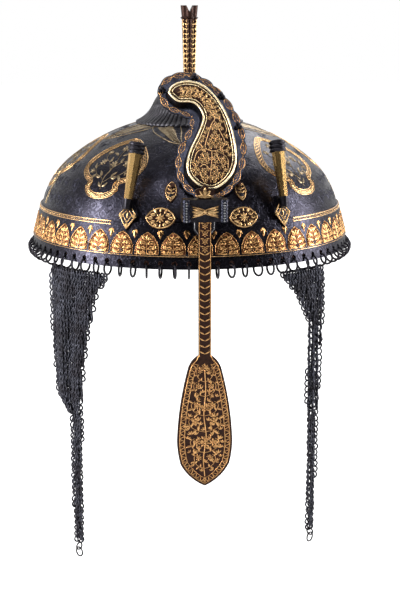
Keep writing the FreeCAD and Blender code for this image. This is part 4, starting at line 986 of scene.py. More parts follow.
class Finishes:
    """Every finish of the helmet, built once."""

    def __init__(self) -> None:
        """Builds the materials."""
        effects = Effects()
        steel = (0.046, 0.044, 0.060)
        steel_dark = (0.013, 0.012, 0.017)
        gold = (0.82, 0.54, 0.25)
        gold_tarnish_and_shade = (0.27, 0.095, 0.035)
        self.bowl = MetalFinish("blued steel", steel, steel_dark, smooth=0.25, rough=0.38, chasing=0.22,
                                chasing_depth=0.05, grain_depth=0.02).build(effects)
        self.scrolls = MetalFinish("chiselled steel", (0.062, 0.062, 0.086), (0.014, 0.013, 0.020), smooth=0.27,
                                   rough=0.5, paints_foot_shade=True).build(effects)
        self.fluted = MetalFinish("fluted steel", (0.13, 0.126, 0.138), (0.013, 0.012, 0.017), smooth=0.3,
                                  rough=0.5, paints_foot_shade=True).build(effects)
        self.faded = MetalFinish("faded gilding", (0.42, 0.33, 0.20), (0.10, 0.055, 0.030), smooth=0.3, rough=0.5,
                                 tarnish_scale=0.4, paints_foot_shade=True, grain_depth=0.02).build(effects)
        self.rust_gold = MetalFinish("russet gold", (0.68, 0.38, 0.15), (0.22, 0.070, 0.025), smooth=0.22, rough=0.42,
                                     tarnish_scale=0.35, tarnish_low=0.46, tarnish_high=0.7, paints_foot_shade=True,
                                     grain_depth=0.02).build(effects)
        self.slate = MetalFinish("slate steel", (0.036, 0.038, 0.054), (0.012, 0.012, 0.018), smooth=0.26, rough=0.4,
                                 tarnish_scale=0.2).build(effects)
        self.dark = MetalFinish("dark iron", (0.040, 0.038, 0.046), (0.014, 0.012, 0.014), smooth=0.34, rough=0.6,
                                tarnish_scale=0.5).build(effects)
        self.mail = MetalFinish("mail iron", (0.052, 0.053, 0.066), (0.020, 0.016, 0.017), smooth=0.36, rough=0.6,
                                tarnish_scale=0.1).build(effects)
        self.inlay = MetalFinish("gold inlay", gold, gold_tarnish_and_shade, smooth=0.22, rough=0.46, tarnish_scale=0.35,
                                 tarnish_low=0.46, tarnish_high=0.7, paints_foot_shade=True,
                                 grain_depth=0.02).build(effects)
        self.gilt = MetalFinish("gilt steel", (0.80, 0.55, 0.24), (0.25, 0.12, 0.05), smooth=0.27, rough=0.5,
                                tarnish_scale=0.45, tarnish_low=0.4, tarnish_high=0.68, chasing=0.9,
                                chasing_depth=0.10).build(effects)
        self.polished = MetalFinish("polished gilding", (0.90, 0.57, 0.22), (0.42, 0.17, 0.05), smooth=0.27,
                                    rough=0.40, tarnish_scale=0.1, tarnish_low=0.56, tarnish_high=0.9, scratches=0.2,
                                    grain_depth=0.004).build(effects)
        self.pale = MetalFinish("pale gold line", (0.93, 0.78, 0.50), (0.45, 0.26, 0.10), smooth=0.18, rough=0.4,
                                tarnish_scale=0.25, tarnish_low=0.5, tarnish_high=0.75,
                                grain_depth=0.015).build(effects)
        self.copper = MetalFinish("copper ground", (0.22, 0.085, 0.040), (0.05, 0.017, 0.009), smooth=0.3, rough=0.5,
                                  tarnish_scale=0.7, tarnish_low=0.42, tarnish_high=0.6).build(effects)
        self.russet = MetalFinish("russet ground", (0.042, 0.015, 0.009), (0.013, 0.006, 0.004), metallic=0.7,
                                  smooth=0.40, rough=0.62, tarnish_scale=0.6).build(effects)
        self.spring = MetalFinish("spring steel", (0.32, 0.32, 0.33), (0.12, 0.12, 0.13)).build(effects)
        self.cloth = ClothFinish().build(effects)


# Sub-assemblies

@dataclass
class Cartouche:
    """The spade-shaped cartouche on the bowl: its outline from the top, clockwise, round its own middle."""

    half: Outline = ((0.0, 27.0), (6.5, 23.5), (14.0, 16.0), (20.0, 7.5), (22.8, 0.0),
                                             (21.8, -7.0), (17.0, -12.0), (12.2, -14.6), (12.6, -18.5),
                                             (9.6, -22.6), (4.6, -24.6))
    foot: tuple[float, float] = (0.0, -25.0)
    band: float = 3.4
    strap_waves: int = 30
    strap_swing: float = 0.26

    def outline(self, depth: float = 0.0, steps: int = 7) -> Array:
        """The closed outline, drawn in by a depth.

        Args:
            depth: how far it is drawn in.
            steps: points to a span.

        Returns:
            Points across and up.
        """
        left = tuple((-across, up) for across, up in self.half[:0:-1])
        path = smooth_path((*self.half, self.foot, *left), closed=True, steps=steps)
        return inset(path, depth)

    def border(self) -> Relief:
        """The gold border with its twisted strap.

        Returns:
            The border as raised work.
        """
        parts = [ribbon(self.outline(0.0), 0.32, 0.3, closed=True),
                 ribbon(self.outline(self.band), 0.28, 0.3, closed=True)]
        middle = self.outline(self.band / 2, steps=16)
        turn = np.linspace(0.0, 2 * np.pi * self.strap_waves, len(middle), endpoint=False)
        wave = np.sin(turn) * self.strap_swing * self.band
        for side in (1.0, -1.0):
            parts.append(ribbon(inset(middle, side * wave), 0.42, 0.26, Section.KEEL, closed=True))
        return Relief.joined(parts)

    @staticmethod
    def spray() -> Relief:
        """A spray of flowers on curled twigs.

        Returns:
            The spray as raised work.
        """
        stem = smooth_path([(0, -19), (-1.0, -11), (1.0, -2), (0, 8), (0, 14)])
        parts = [ribbon(stem, 0.3, 0.24, Section.KEEL)]
        parts.append(blossom(3.2, 8).copies([(0.0, 16.0)]))
        parts.append(blossom(2.6, 6).copies([(0.0, 1.0)]))
        twig = Relief.joined([
            ribbon(smooth_path([(0, -14), (4, -10), (8.5, -8.5), (12.0, -4.0), (10.0, 0.5)]), 0.24, 0.22,
                   Section.KEEL),
            ribbon(smooth_path([(0, -4), (4.5, 2), (9.0, 5.0), (10.5, 9.0)]), 0.24, 0.22, Section.KEEL),
            blossom(2.5, 6).copies([(9.4, 1.4)]), blossom(2.1, 6).copies([(9.6, 10.6)]),
            blossom(1.9, 5).copies([(13.6, -6.4)]),
            leaf(5.2, 2.2, 0.9).copies([(4.0, -10.0), (8.5, -8.5), (4.5, 2.0), (2.0, 8.5)],
                                       np.array([-0.1, -2.2, 0.4, -0.7])),
            leaf(4.6, 2.0, -0.9).copies([(4.0, -10.0), (12.0, -4.0), (6.5, 3.6), (0.4, -17.0)],
                                        np.array([-2.0, -0.9, -1.9, -1.2]))])
        parts.append(twig.both())
        return Relief.joined(parts)


@dataclass
class Bowl:
    """The bowl: blued steel, its chiselled scrolls, gold cartouches and panel borders."""

    first_azimuth: float = 3.0
    cartouches: int = 8
    cartouche_along: float = 65.0
    scroll_reach: float = 5.2
    rows: tuple[float, ...] = (36.0, 47.5, 59.0, 70.5, 82.0, 93.5, 104.0)
    panels: tuple[float, ...] = (-42.0, 48.0, 138.0, 228.0)
    borders: tuple[float, ...] = (84.0, 102.0, 174.0, 192.0, 264.0, 282.0)
    scroll_gap: float = 2.25
    scroll_turn: float = 2.1
    border_low: float = 30.0
    border_high: float = 52.0
    border_half: float = 1.2
    bead_pitch: float = 1.9

    def build(self, finishes: Finishes) -> None:
        """Dresses the bowl and lays its ornament.

        Args:
            finishes: the helmet's finishes.
        """
        dress(["skull"], finishes.bowl)
        azimuths = self.first_azimuth + 360.0 / self.cartouches * np.arange(1, self.cartouches)
        charts = [BowlChart(azimuth, self.cartouche_along) for azimuth in azimuths]
        border, spray = Cartouche().border(), Cartouche.spray()
        lay_all("bowl_cartouches", [(border, chart) for chart in charts], "helmet", finishes.inlay)
        lay_all("bowl_sprays", [(spray, chart) for chart in charts], "helmet", finishes.faded)
        self.lay_scrolls(finishes, azimuths)
        head, border = self.panel_head(), self.panel_border()
        works = [(head, BowlChart(azimuth, 0.0)) for azimuth in self.panels]
        works += [(border, BowlChart(azimuth, 0.0)) for azimuth in self.borders]
        lay_all("bowl_panel_borders", works, "helmet", finishes.faded)

    def lay_scrolls(self, finishes: Finishes, azimuths: Array) -> None:
        """Rows of scrolls over the bowl, alternately handed, left out where a cartouche lies.

        Args:
            finishes: the helmet's finishes.
            azimuths: azimuths of the cartouches, degrees.
        """
        works: list[tuple[Relief, Chart]] = []
        shapes = (scroll(self.scroll_reach), scroll(self.scroll_reach).copies(np.zeros((1, 2)), mirror=True))
        outline = Cartouche().outline(-self.scroll_reach)
        for number, along in enumerate(self.rows):
            radius = float(BOWL.meridian(along)[0])
            count = int(2 * math.pi * radius / (self.scroll_gap * self.scroll_reach))
            around = np.degrees((np.arange(count) + 0.5 * (number % 2)) * 2 * math.pi / count)
            offsets = (around[:, None] - azimuths[None, :] + 180.0) % 360.0 - 180.0
            nearest = np.take_along_axis(offsets, np.abs(offsets).argmin(1)[:, None], 1)[:, 0]
            flat = np.stack([np.radians(nearest) * radius, np.full(count, along - self.cartouche_along)], axis=1)
            around = around[~inside(flat, outline)]
            for hand, shape in enumerate(shapes):
                centres = np.radians(around[hand::2]) * radius
                places = np.stack([centres, np.zeros(len(centres))], axis=1)
                turned = shape.copies(places, np.arange(len(centres)) * self.scroll_turn)
                works.append((turned, BowlChart(0.0, along, spread=radius)))
        lay_all("bowl_scrolls", works, "helmet", finishes.scrolls)

    def panel_border(self) -> Relief:
        """A beaded double line up the bowl to the cartouche beside it.

        Returns:
            The border as raised work.
        """
        along = np.linspace(self.border_low, self.border_high, 24)
        parts = [ribbon(np.stack([np.full(len(along), side * self.border_half), along], axis=1), 0.27, 0.24)
                 for side in (-1.0, 1.0)]
        spots = np.arange(self.border_low + 1.0, self.border_high, self.bead_pitch)
        parts.append(bead(0.72, 0.26, 6).copies(np.stack([np.zeros(len(spots)), spots], axis=1)))
        return Relief.joined(parts)

    @staticmethod
    def panel_head() -> Relief:
        """A broad leaf along each side of a panel's head: half width = 16 * t ** 1.1 * (1 - t) ** 0.3.

        Returns:
            The leaves as raised work.
        """
        spine = smooth_path([(34.0, 87.0), (25.5, 93.0), (17.5, 101.0), (9.5, 109.0), (1.5, 119.0)], steps=10)
        share = np.linspace(0.0, 1.0, len(spine))
        half = 16.0 * share ** 1.1 * (1.0 - share) ** 0.3
        run = np.gradient(spine, axis=0)
        left = left_of(spine)
        edge = [ribbon(spine + left * (half * side)[:, None], 0.34, 0.3) for side in (1.0, -1.0)]
        spots = np.arange(5, len(spine) - 10, 2)
        turns = np.arctan2(-run[spots, 0], run[spots, 1])
        leaves = [leaf(7.0, 2.9, side * 0.5).copies(spine[spots], turns + side * 0.85, half[spots] / 7.0)
                  for side in (1.0, -1.0)]
        rib = ribbon(spine, 0.34, 0.28, Section.KEEL)
        return Relief.joined([rib, *edge, *leaves]).both()


@dataclass
class BrowBand:
    """The brow band: pointed arches filled with flowers, fleurs between them and lines above."""

    arches: int = 40
    first_azimuth: float = -0.9
    low: float = 7.6
    arch_high: float = 15.0
    arch_half: float = 7.75
    spread: float = 100.0
    offset: float = 1.05
    line_high: float = 25.3
    line_gap: float = 0.95
    line_start: float = 36.0
    line_end: float = 328.0
    dot_pitch: float = 1.5
    ground_rise: float = 0.06

    def chart(self) -> BowlChart:
        """The band's own face, across at one spread all the way up."""
        return BowlChart(self.first_azimuth, 0.0, self.offset, self.spread)

    def arch_path(self, depth: float) -> Array:
        """A pointed arch that stands on the line at its foot, clockwise from its lower left corner.

        Args:
            depth: how far it is drawn in.

        Returns:
            Points across and up.
        """
        half, high = self.arch_half - depth, self.arch_high - 1.6 * depth
        spring, bend, steps = 0.36 * high, 1.5 * half + 2.0, 9
        left = np.concatenate([[(-half, depth)], arc((-half, spring), (0.0, high), bend, steps)])
        right = np.concatenate([arc((0.0, high), (half, spring), bend, steps),
                                [(half, spring), (half, depth)]])
        return np.concatenate([left, right])

    def flowers(self) -> Relief:
        """The flowers and leaves inside one arch.

        Returns:
            The flowers as raised work.
        """
        side = Relief.joined([
            leaf(4.6, 2.2, 0.7).copies([(0.4, 0.9), (0.5, 3.6), (0.5, 6.4), (0.4, 9.0)],
                                       np.array([-1.15, -0.95, -0.8, -0.6])),
            leaf(3.0, 1.7, -0.7).copies([(3.3, 1.0), (3.6, 3.5), (3.0, 6.3)], np.array([-1.1, -0.7, -0.5])),
            leaf(2.6, 1.4, 0.5).copies([(5.2, 0.9), (5.5, 3.9), (2.3, 9.1)], np.array([-0.1, 0.1, 0.15])),
            blossom(1.15, 5, steps=4).copies([(2.6, 2.3), (4.7, 6.7)]),
            bead(0.45, 0.3, 6).copies([(1.4, 2.6), (2.0, 5.6), (5.9, 2.9), (1.4, 8.4)])])
        middle = Relief.joined([ribbon(smooth_path([(0.0, 0.8), (0.0, 6.0), (0.0, 12.0)], steps=4), 0.28, 0.28,
                                       Section.KEEL),
                                leaf(3.0, 1.9).copies([(0.0, 9.4)])])
        return Relief.joined([side.both(), middle])

    def build(self, finishes: Finishes) -> None:
        """Dresses the band and lays its arches.

        Args:
            finishes: the helmet's finishes.
        """
        dress(["brow_band"], finishes.bowl)
        pitch = 2 * math.pi * self.spread / self.arches
        foot = self.low / math.cos(BOWL.flare_angle)
        places = np.stack([np.arange(self.arches) * pitch, np.full(self.arches, foot)], axis=1)
        edge = ribbon(self.arch_path(0.75), 0.26, 0.34, closed=True)
        fleur = Relief.joined([leaf(5.4, 2.6), leaf(3.4, 1.3, -0.5).copies([(0, 0)], -0.85),
                               leaf(3.4, 1.3, 0.5).copies([(0, 0)], 0.85)]).copies([(0, 0)], math.pi)
        between = places + (pitch / 2, self.arch_high + 0.3)
        lay("brow_arches", Relief.joined([edge.copies(places), self.flowers().copies(places),
                                          fleur.copies(between)]),
            self.chart(), "helmet", finishes.rust_gold)
        self.lay_grounds(finishes, places)
        self.lay_lines(finishes, foot)

    def lay_grounds(self, finishes: Finishes, places: Array) -> None:
        """A thin copper ground in each arch: rings of the outline drawn together, closed in the middle.

        Args:
            finishes: the helmet's finishes.
            places: the middle of each arch's foot.
        """
        outer = self.arch_path(0.85)
        middle = np.array([[0.0, 0.45 * self.arch_high]])
        shares = np.array([1.0, 0.985, 0.66, 0.33, 0.0])
        heights = np.where(shares == 1.0, -SINK, self.ground_rise)
        flat = middle[None] + shares[:, None, None] * (outer - middle)[None]
        points = np.concatenate([flat, np.broadcast_to(heights[:, None, None], (*flat.shape[:2], 1))], axis=-1)
        faces = grid_faces(len(shares), len(outer), close_cols=True)
        ground = Relief(points.reshape(-1, 3), np.ones(flat.shape[0] * flat.shape[1]), faces)
        lay("brow_arch_grounds", ground.copies(places), self.chart(), "helmet", finishes.copper)

    def lay_lines(self, finishes: Finishes, foot: float) -> None:
        """A line under the arches all round, and a beaded double line above them from the temples back.

        Args:
            finishes: the helmet's finishes.
            foot: length up the bowl to the arches' feet.
        """
        around = np.linspace(0.0, 2 * math.pi * self.spread, 360, endpoint=False)
        base = ribbon(np.stack([around, np.full(len(around), foot - 0.3)], axis=1), 0.22, 0.25, Section.KEEL)
        start, end = (math.radians(turn) * self.spread for turn in (self.line_start, self.line_end))
        high = self.line_high / math.cos(BOWL.flare_angle)
        run = np.linspace(start, end, 300)
        lines = [ribbon(np.stack([run, np.full(len(run), high + side * self.line_gap)], axis=1), 0.36, 0.3)
                 for side in (-1, 1)]
        dots = np.arange(start, end, self.dot_pitch)
        beads = bead(0.42, 0.26, 6).copies(np.stack([dots, np.full(len(dots), high)], axis=1))
        lay("brow_lines", Relief.joined([base, *lines, beads]), self.chart(), "helmet",
            finishes.inlay)


@dataclass
class Crest:
    """The boteh crest: a scalloped plate, a raised boteh filled with flowers, knobs and feet."""

    origin: tuple[float, float, float] = (0.0, -95.0, 39.3)
    lean: float = math.radians(27.0)
    boteh: Outline = (
        (-19.4, 66.2), (-16.6, 72.4), (-8.5, 75.6), (0.8, 74.2), (8.6, 68.2), (15.2, 58.6), (19.9, 46.8),
        (22.3, 32.0), (21.6, 20.0), (16.4, 10.2), (7.2, 4.2), (-1.8, 5.9), (-8.6, 12.8), (-10.4, 20.8),
        (-8.0, 30.4), (-3.4, 39.9), (-0.2, 48.0), (0.0, 53.4), (-4.2, 58.5), (-13.0, 59.4))
    foot_azimuths: tuple[float, ...] = (-11.5, 15.3)
    pinches: Outline = (
        (-23.6, 66.4), (-22.2, 75.0), (-15.4, 80.4), (-6.0, 81.8), (3.0, 78.6), (9.8, 73.4), (16.2, 66.0),
        (21.4, 57.4), (25.2, 48.0), (26.9, 38.0), (26.6, 28.0), (24.4, 18.4), (19.4, 9.6), (12.0, 3.4),
        (2.6, 0.2), (-5.4, 4.2), (-11.6, 10.8), (-14.4, 19.6), (-13.6, 29.4), (-9.6, 38.4), (-5.2, 46.2),
        (-5.0, 53.0), (-11.0, 55.6), (-18.6, 58.6))
    wall: Outline = ((0.0, -0.02), (0.25, 0.7), (0.9, 3.0), (1.3, 4.7), (1.55, 5.6))
    rim: Outline = ((1.3, 5.3), (1.4, 6.1), (1.75, 6.5), (2.3, 6.5), (2.65, 6.1),
                                            (2.7, 5.5))
    channel: Outline = ((2.6, 5.75), (2.9, 5.6), (3.5, 5.7))
    line: Outline = ((3.4, 5.6), (3.5, 6.05), (3.75, 6.2), (4.0, 6.05), (4.1, 5.7))
    field_inset: float = 3.9
    field_low: float = 5.75
    field_crown: float = 1.1
    field_swell: float = 3.5
    usual_scallop: float = 9.4
    ring_place: tuple[float, float] = (11.6, 4.9)
    fan_place: tuple[float, float] = (2.5, 1.1)
    foot_half: float = 6.2
    foot_height: float = 44.0
    foot_seat: float = 1.05

    def chart(self, dome: Callable[[Array, Array], Array] | None = None) -> PlaneChart:
        """The plate's front face."""
        return PlaneChart(self.origin, (1.0, 0.0, 0.0), (0.0, math.sin(self.lean), math.cos(self.lean)), dome)

    def outline(self, depth: float, steps: int = 10) -> Array:
        """The boteh's outline, drawn in by a depth."""
        return inset(smooth_path(self.boteh, closed=True, steps=steps), depth)

    def rings(self, profile: Sequence[tuple[float, float]]) -> Relief:
        """A profile carried round the boteh: each of its points is an inset and a height.

        Args:
            profile: insets and heights.

        Returns:
            The rings as raised work.
        """
        rows = [np.column_stack([self.outline(depth), np.full(len(self.outline(depth)), height)])
                for depth, height in profile]
        count = len(rows[0])
        faces = grid_faces(len(rows), count, close_cols=True)
        return Relief(np.concatenate(rows), np.ones(len(rows) * count), faces)

    def crown(self, across: Array, up: Array) -> Array:
        """Height of the field: it swells from its edge as 1 - exp(-distance / field_swell).

        Args:
            across: places across.
            up: places up.

        Returns:
            Heights above the plate.
        """
        outline = self.outline(self.field_inset)
        distance = edge_distance(np.stack([across, up], axis=1), outline)
        return self.field_low + self.field_crown * (1.0 - np.exp(-distance / self.field_swell))

    def field(self) -> Relief:
        """The field as rungs between the two sides of the outline, from its tip to its foot.

        Returns:
            The field as raised work.
        """
        outline = self.outline(self.field_inset)
        half = len(outline) // 2
        right = outline[:half + 1]
        left = np.concatenate([outline[:1], outline[:half - 1:-1]])
        share = np.linspace(0.0, 1.0, 17)[None, :, None]
        flat = (right[:, None] * (1.0 - share) + left[:, None] * share).reshape(-1, 2)
        height = self.crown(flat[:, 0], flat[:, 1])
        points = np.column_stack([flat, height])
        faces = grid_faces(half + 1, share.shape[1])[:, ::-1]
        return Relief(points, np.ones(len(points)), faces)

    def flowers(self) -> Relief:
        """A stem with twigs up the field, and small flowers over the rest of it.

        Returns:
            The flowers as raised work.
        """
        stem = smooth_path([(5.0, 9.5), (5.1, 15.9), (6.0, 23.0), (6.4, 29.0)], steps=8)
        upper = smooth_path([(8.3, 48.0), (10.0, 53.0), (7.6, 59.6), (2.0, 64.6), (-5.0, 67.6), (-12.5, 66.6)],
                            steps=8)
        tear = smooth_path([(8.3, 48.0), (11.8, 41.0), (14.2, 34.6), (11.8, 30.2), (6.4, 29.0), (2.6, 31.4),
                            (4.4, 39.0)], closed=True)
        twigs = [smooth_path(corners, steps=7) for corners in (
            [(6.4, 29.0), (1.9, 30.2), (-2.4, 28.4), (-4.4, 23.0)], [(6.4, 29.0), (12.0, 27.6), (15.6, 23.6),
                                                                    (15.4, 18.0)],
            [(5.4, 17.0), (1.6, 20.4), (-1.2, 19.0)], [(5.4, 17.0), (9.6, 19.6), (11.6, 17.4)],
            [(12.8, 38.6), (15.6, 42.0), (14.2, 48.6)])]
        lines = [ribbon(path, 0.32, 0.36, Section.KEEL) for path in [stem, upper, *twigs]]
        lines.append(ribbon(tear, 0.32, 0.36, Section.KEEL, closed=True))
        spines = np.concatenate([stem, upper, tear, *twigs])
        rng = np.random.default_rng(7)
        places = scattered(self.outline(self.field_inset), 2.7, 1.15, rng, 0.2)
        gap = np.linalg.norm(places[:, None] - spines[None], axis=-1).min(1)
        places = places[gap > 1.05]
        turns = rng.uniform(0.0, np.pi, len(places))
        petals = blossom(1.5, 5, 0.45, 4).copies(places, turns, rng.uniform(0.9, 1.08, len(places)))
        run = np.gradient(upper, axis=0)
        spots = np.arange(3, len(upper) - 3, 3)
        heading = np.arctan2(-run[spots, 0], run[spots, 1])
        leaves = [leaf(3.2, 1.5, side * 0.8, 0.42, 6).copies(upper[spots], heading - side * 0.8)
                  for side in (1.0, -1.0)]
        return Relief.joined([*lines, petals, *leaves])

    def scallops(self) -> Relief:
        """A leaf-shaped cartouche in each scallop, a bead at each pinch, and a ring and a palmette at the foot.

        Returns:
            The scallops' gold as raised work.
        """
        ends = np.array(self.pinches)
        run = np.roll(ends, -1, 0) - ends
        length = np.linalg.norm(run, axis=1)
        right = np.stack([run[:, 1], -run[:, 0]], axis=1) / length[:, None]
        middle = ends + run / 2 + right * 0.9
        heading = np.arctan2(run[:, 1], run[:, 0])
        share = np.linspace(0.0, 2 * np.pi, 24, endpoint=False)
        loop = np.stack([3.55 * np.cos(share), 1.55 * np.sign(np.sin(share)) * np.abs(np.sin(share)) ** 1.4],
                        axis=1)[::-1]
        cartouche = Relief.joined([
            ribbon(loop, 0.27, 0.34, closed=True), blossom(0.85, 5, 0.3, 4, Section.KEEL),
            leaf(2.1, 1.0, rise=0.3, steps=5).copies([(0.7, 0.0), (-0.7, 0.0)], np.array([-np.pi / 2, np.pi / 2]))])
        scale = length / self.usual_scallop
        beads = bead(0.62, 0.5, 8).copies(ends + (np.roll(right, 1, 0) + right) * 0.65)
        hoop = np.stack([np.cos(share), np.sin(share)], axis=1)[::-1]
        ring = ribbon(hoop * 1.6 + self.ring_place, 0.34, 0.6, closed=True)
        fan = leaf(3.6, 1.9, rise=0.45).copies([self.fan_place] * 5, np.array([-1.35, -0.7, 0.0, 0.7, 1.35]))
        return Relief.joined([cartouche.copies(middle, heading, scale), beads, ring, fan])

    def build(self, finishes: Finishes) -> None:
        """Builds the boss and lays the gold work on it, on the plate and on the feet.

        Args:
            finishes: the helmet's finishes.
        """
        dress(["crest_plate"], finishes.slate)
        dress(["crest_knobs", "crest_stay", "crest_rivets"], finishes.dark)
        dress(["crest_foot_left", "crest_foot_right"], finishes.russet)
        wall, chart = self.rings(self.wall), self.chart()
        points = chart.place(*wall.points.T)
        new_piece("crest_boss_wall", points, wall.faces, "helmet", finishes.slate,
                  replaces=("crest_boss",))
        lay_all("crest_boss_lines", [(self.rings(self.rim), chart), (self.rings(self.line), chart)], "helmet",
                finishes.pale)
        lay_all("crest_boss_field", [(self.rings(self.channel), chart), (self.field(), chart)], "helmet",
                finishes.russet)
        lay("crest_boss_flowers", self.flowers(), self.chart(self.crown), "helmet", finishes.inlay)
        lay("crest_scallops", self.scallops(), chart, "helmet", finishes.rust_gold)
        along = BOWL.along(self.foot_height)
        lay_all("crest_foot_leaves", [(self.foot(), BowlChart(azimuth, along, self.foot_seat))
                                      for azimuth in self.foot_azimuths], "helmet", finishes.inlay)

    def foot(self) -> Relief:
        """A veined leaf between two arcs, for a foot of the crest.

        Returns:
            The leaf as raised work.
        """
        side = arc((0.0, -self.foot_half), (0.0, self.foot_half), 1.25 * self.foot_half, 10)
        loop = np.concatenate([side, -side])
        veins = [leaf(2.8, 1.2, turn * 0.5).copies([(0.0, up) for up in (-4.6, -2.2, 0.2, 2.6)], turn * -0.75)
                 for turn in (1.0, -1.0)]
        return Relief.joined([ribbon(loop, 0.34, 0.34, closed=True), *veins,
                              ribbon(np.array([(0.0, -5.5), (0.0, 0.0), (0.0, 5.5)]), 0.24, 0.3, Section.KEEL)])


@dataclass
class Finial:
    """The finial: a fluted skirt that replaces its plain solid, a collar and a gilt spike."""

    flutes: int = 64
    around: int = 768
    profile: Outline = (
        (35.0, 77.95), (35.0, 78.4), (35.0, 79.6), (34.2, 80.0), (32.3, 81.0), (30.6, 82.0), (28.2, 84.0),
        (26.4, 86.0), (25.1, 88.0), (24.05, 89.9), (23.56, 91.0), (23.05, 92.0), (21.82, 94.0), (20.25, 96.0),
        (18.2, 98.0), (15.43, 100.0), (11.05, 102.0), (5.6, 103.0), (3.0, 103.0), (3.0, 78.6))
    depths: tuple[float, ...] = (0.0, 0.3, 0.7, 1.0, 1.0, 1.0, 1.0, 1.0, 0.85, 0.4)
    flute_depth: float = 0.75
    ridge_turns: tuple[float, ...] = tuple(math.radians(90 * quarter + side * 27)
                                           for quarter in range(4) for side in (-1, 1))
    ridge_share: float = 0.905
    ridge_radius: float = 1.9
    spike_foot: float = 108.0
    spike_top: float = 144.0
    spike_low_half: float = 3.9
    spike_high_half: float = 4.9
    leaf_pitch: float = 3.1

    def build(self, finishes: Finishes) -> None:
        """Builds the skirt and dresses the rest.

        Args:
            finishes: the helmet's finishes.
        """
        angle = np.linspace(0.0, 2 * np.pi, self.around, endpoint=False)
        radius, height = np.array(self.profile).T
        lobe = np.abs(np.cos(angle * self.flutes / 2)) ** 0.6
        deep = np.pad(self.depths, (0, len(radius) - len(self.depths)))
        cut = deep[:, None] * self.flute_depth * (1.0 - lobe[None, :])
        reach = radius[:, None] - cut
        top = height[:, None] - 0.5 * cut
        points = np.stack([reach * np.cos(angle), reach * np.sin(angle), top], axis=-1).reshape(-1, 3)
        # Share of painted light on the skirt: painted shade in the flute hollows; the rows without flutes keep a
        # quarter share and stay darker.
        shine = 0.25 + 0.75 * deep[:, None]
        lit_share = np.clip(shine * (1.0 - 1.2 * cut / self.flute_depth), 0.0, 1.0).reshape(-1)
        faces = grid_faces(len(radius), self.around, close_rows=True, close_cols=True)[:, ::-1]
        new_piece("finial_skirt", points, faces, "helmet", finishes.fluted, lit_share, ("finial_base",))
        dress(["finial_collar", "finial_washer", "finial_nut"], finishes.dark)
        dress(["finial_spike"], finishes.russet)
        leaves = self.spike_leaves()
        lay_all("finial_spike_leaves", [(leaves, self.ridge_chart(turn)) for turn in self.ridge_turns],
                "helmet", finishes.inlay)

    def ridge_chart(self, turn: float) -> PlaneChart:
        """One of the spike's ridges between its grooves, which leans outwards as the spike widens.

        Args:
            turn: azimuth of the ridge, radians.

        Returns:
            The ridge's chart.
        """
        way = np.array([math.sin(turn), -math.cos(turn), 0.0])
        lean = (self.spike_high_half - self.spike_low_half) / (self.spike_top - self.spike_foot)
        up = (way * lean + (0.0, 0.0, 1.0)) / math.hypot(1.0, lean)
        origin = way * self.ridge_share * (self.spike_low_half - lean * self.spike_foot)
        return PlaneChart(tuple(origin), (math.cos(turn), math.sin(turn), 0.0), tuple(up), self.ridge_dome)

    def ridge_dome(self, across: Array, _up: Array) -> Array:
        """A ridge falls away from its middle as -across ** 2 / (2 * radius)."""
        return -across ** 2 / (2.0 * self.ridge_radius)

    def spike_leaves(self) -> Relief:
        """Pairs of leaves up a stem, with beads between them.

        Returns:
            The leaves as raised work.
        """
        spots = np.arange(self.spike_foot + 1.0, self.spike_top - 2.5, self.leaf_pitch)
        stem = np.array([(0.0, height) for height in np.linspace(self.spike_foot, self.spike_top, 16)])
        feet = np.stack([np.zeros(len(spots)), spots], axis=1)
        return Relief.joined([ribbon(stem, 0.2, 0.2, Section.KEEL), leaf(2.2, 0.95, 0.5).copies(feet, -0.5).both(),
                              bead(0.42, 0.25, 6).copies(feet + (0.0, 2.6))])


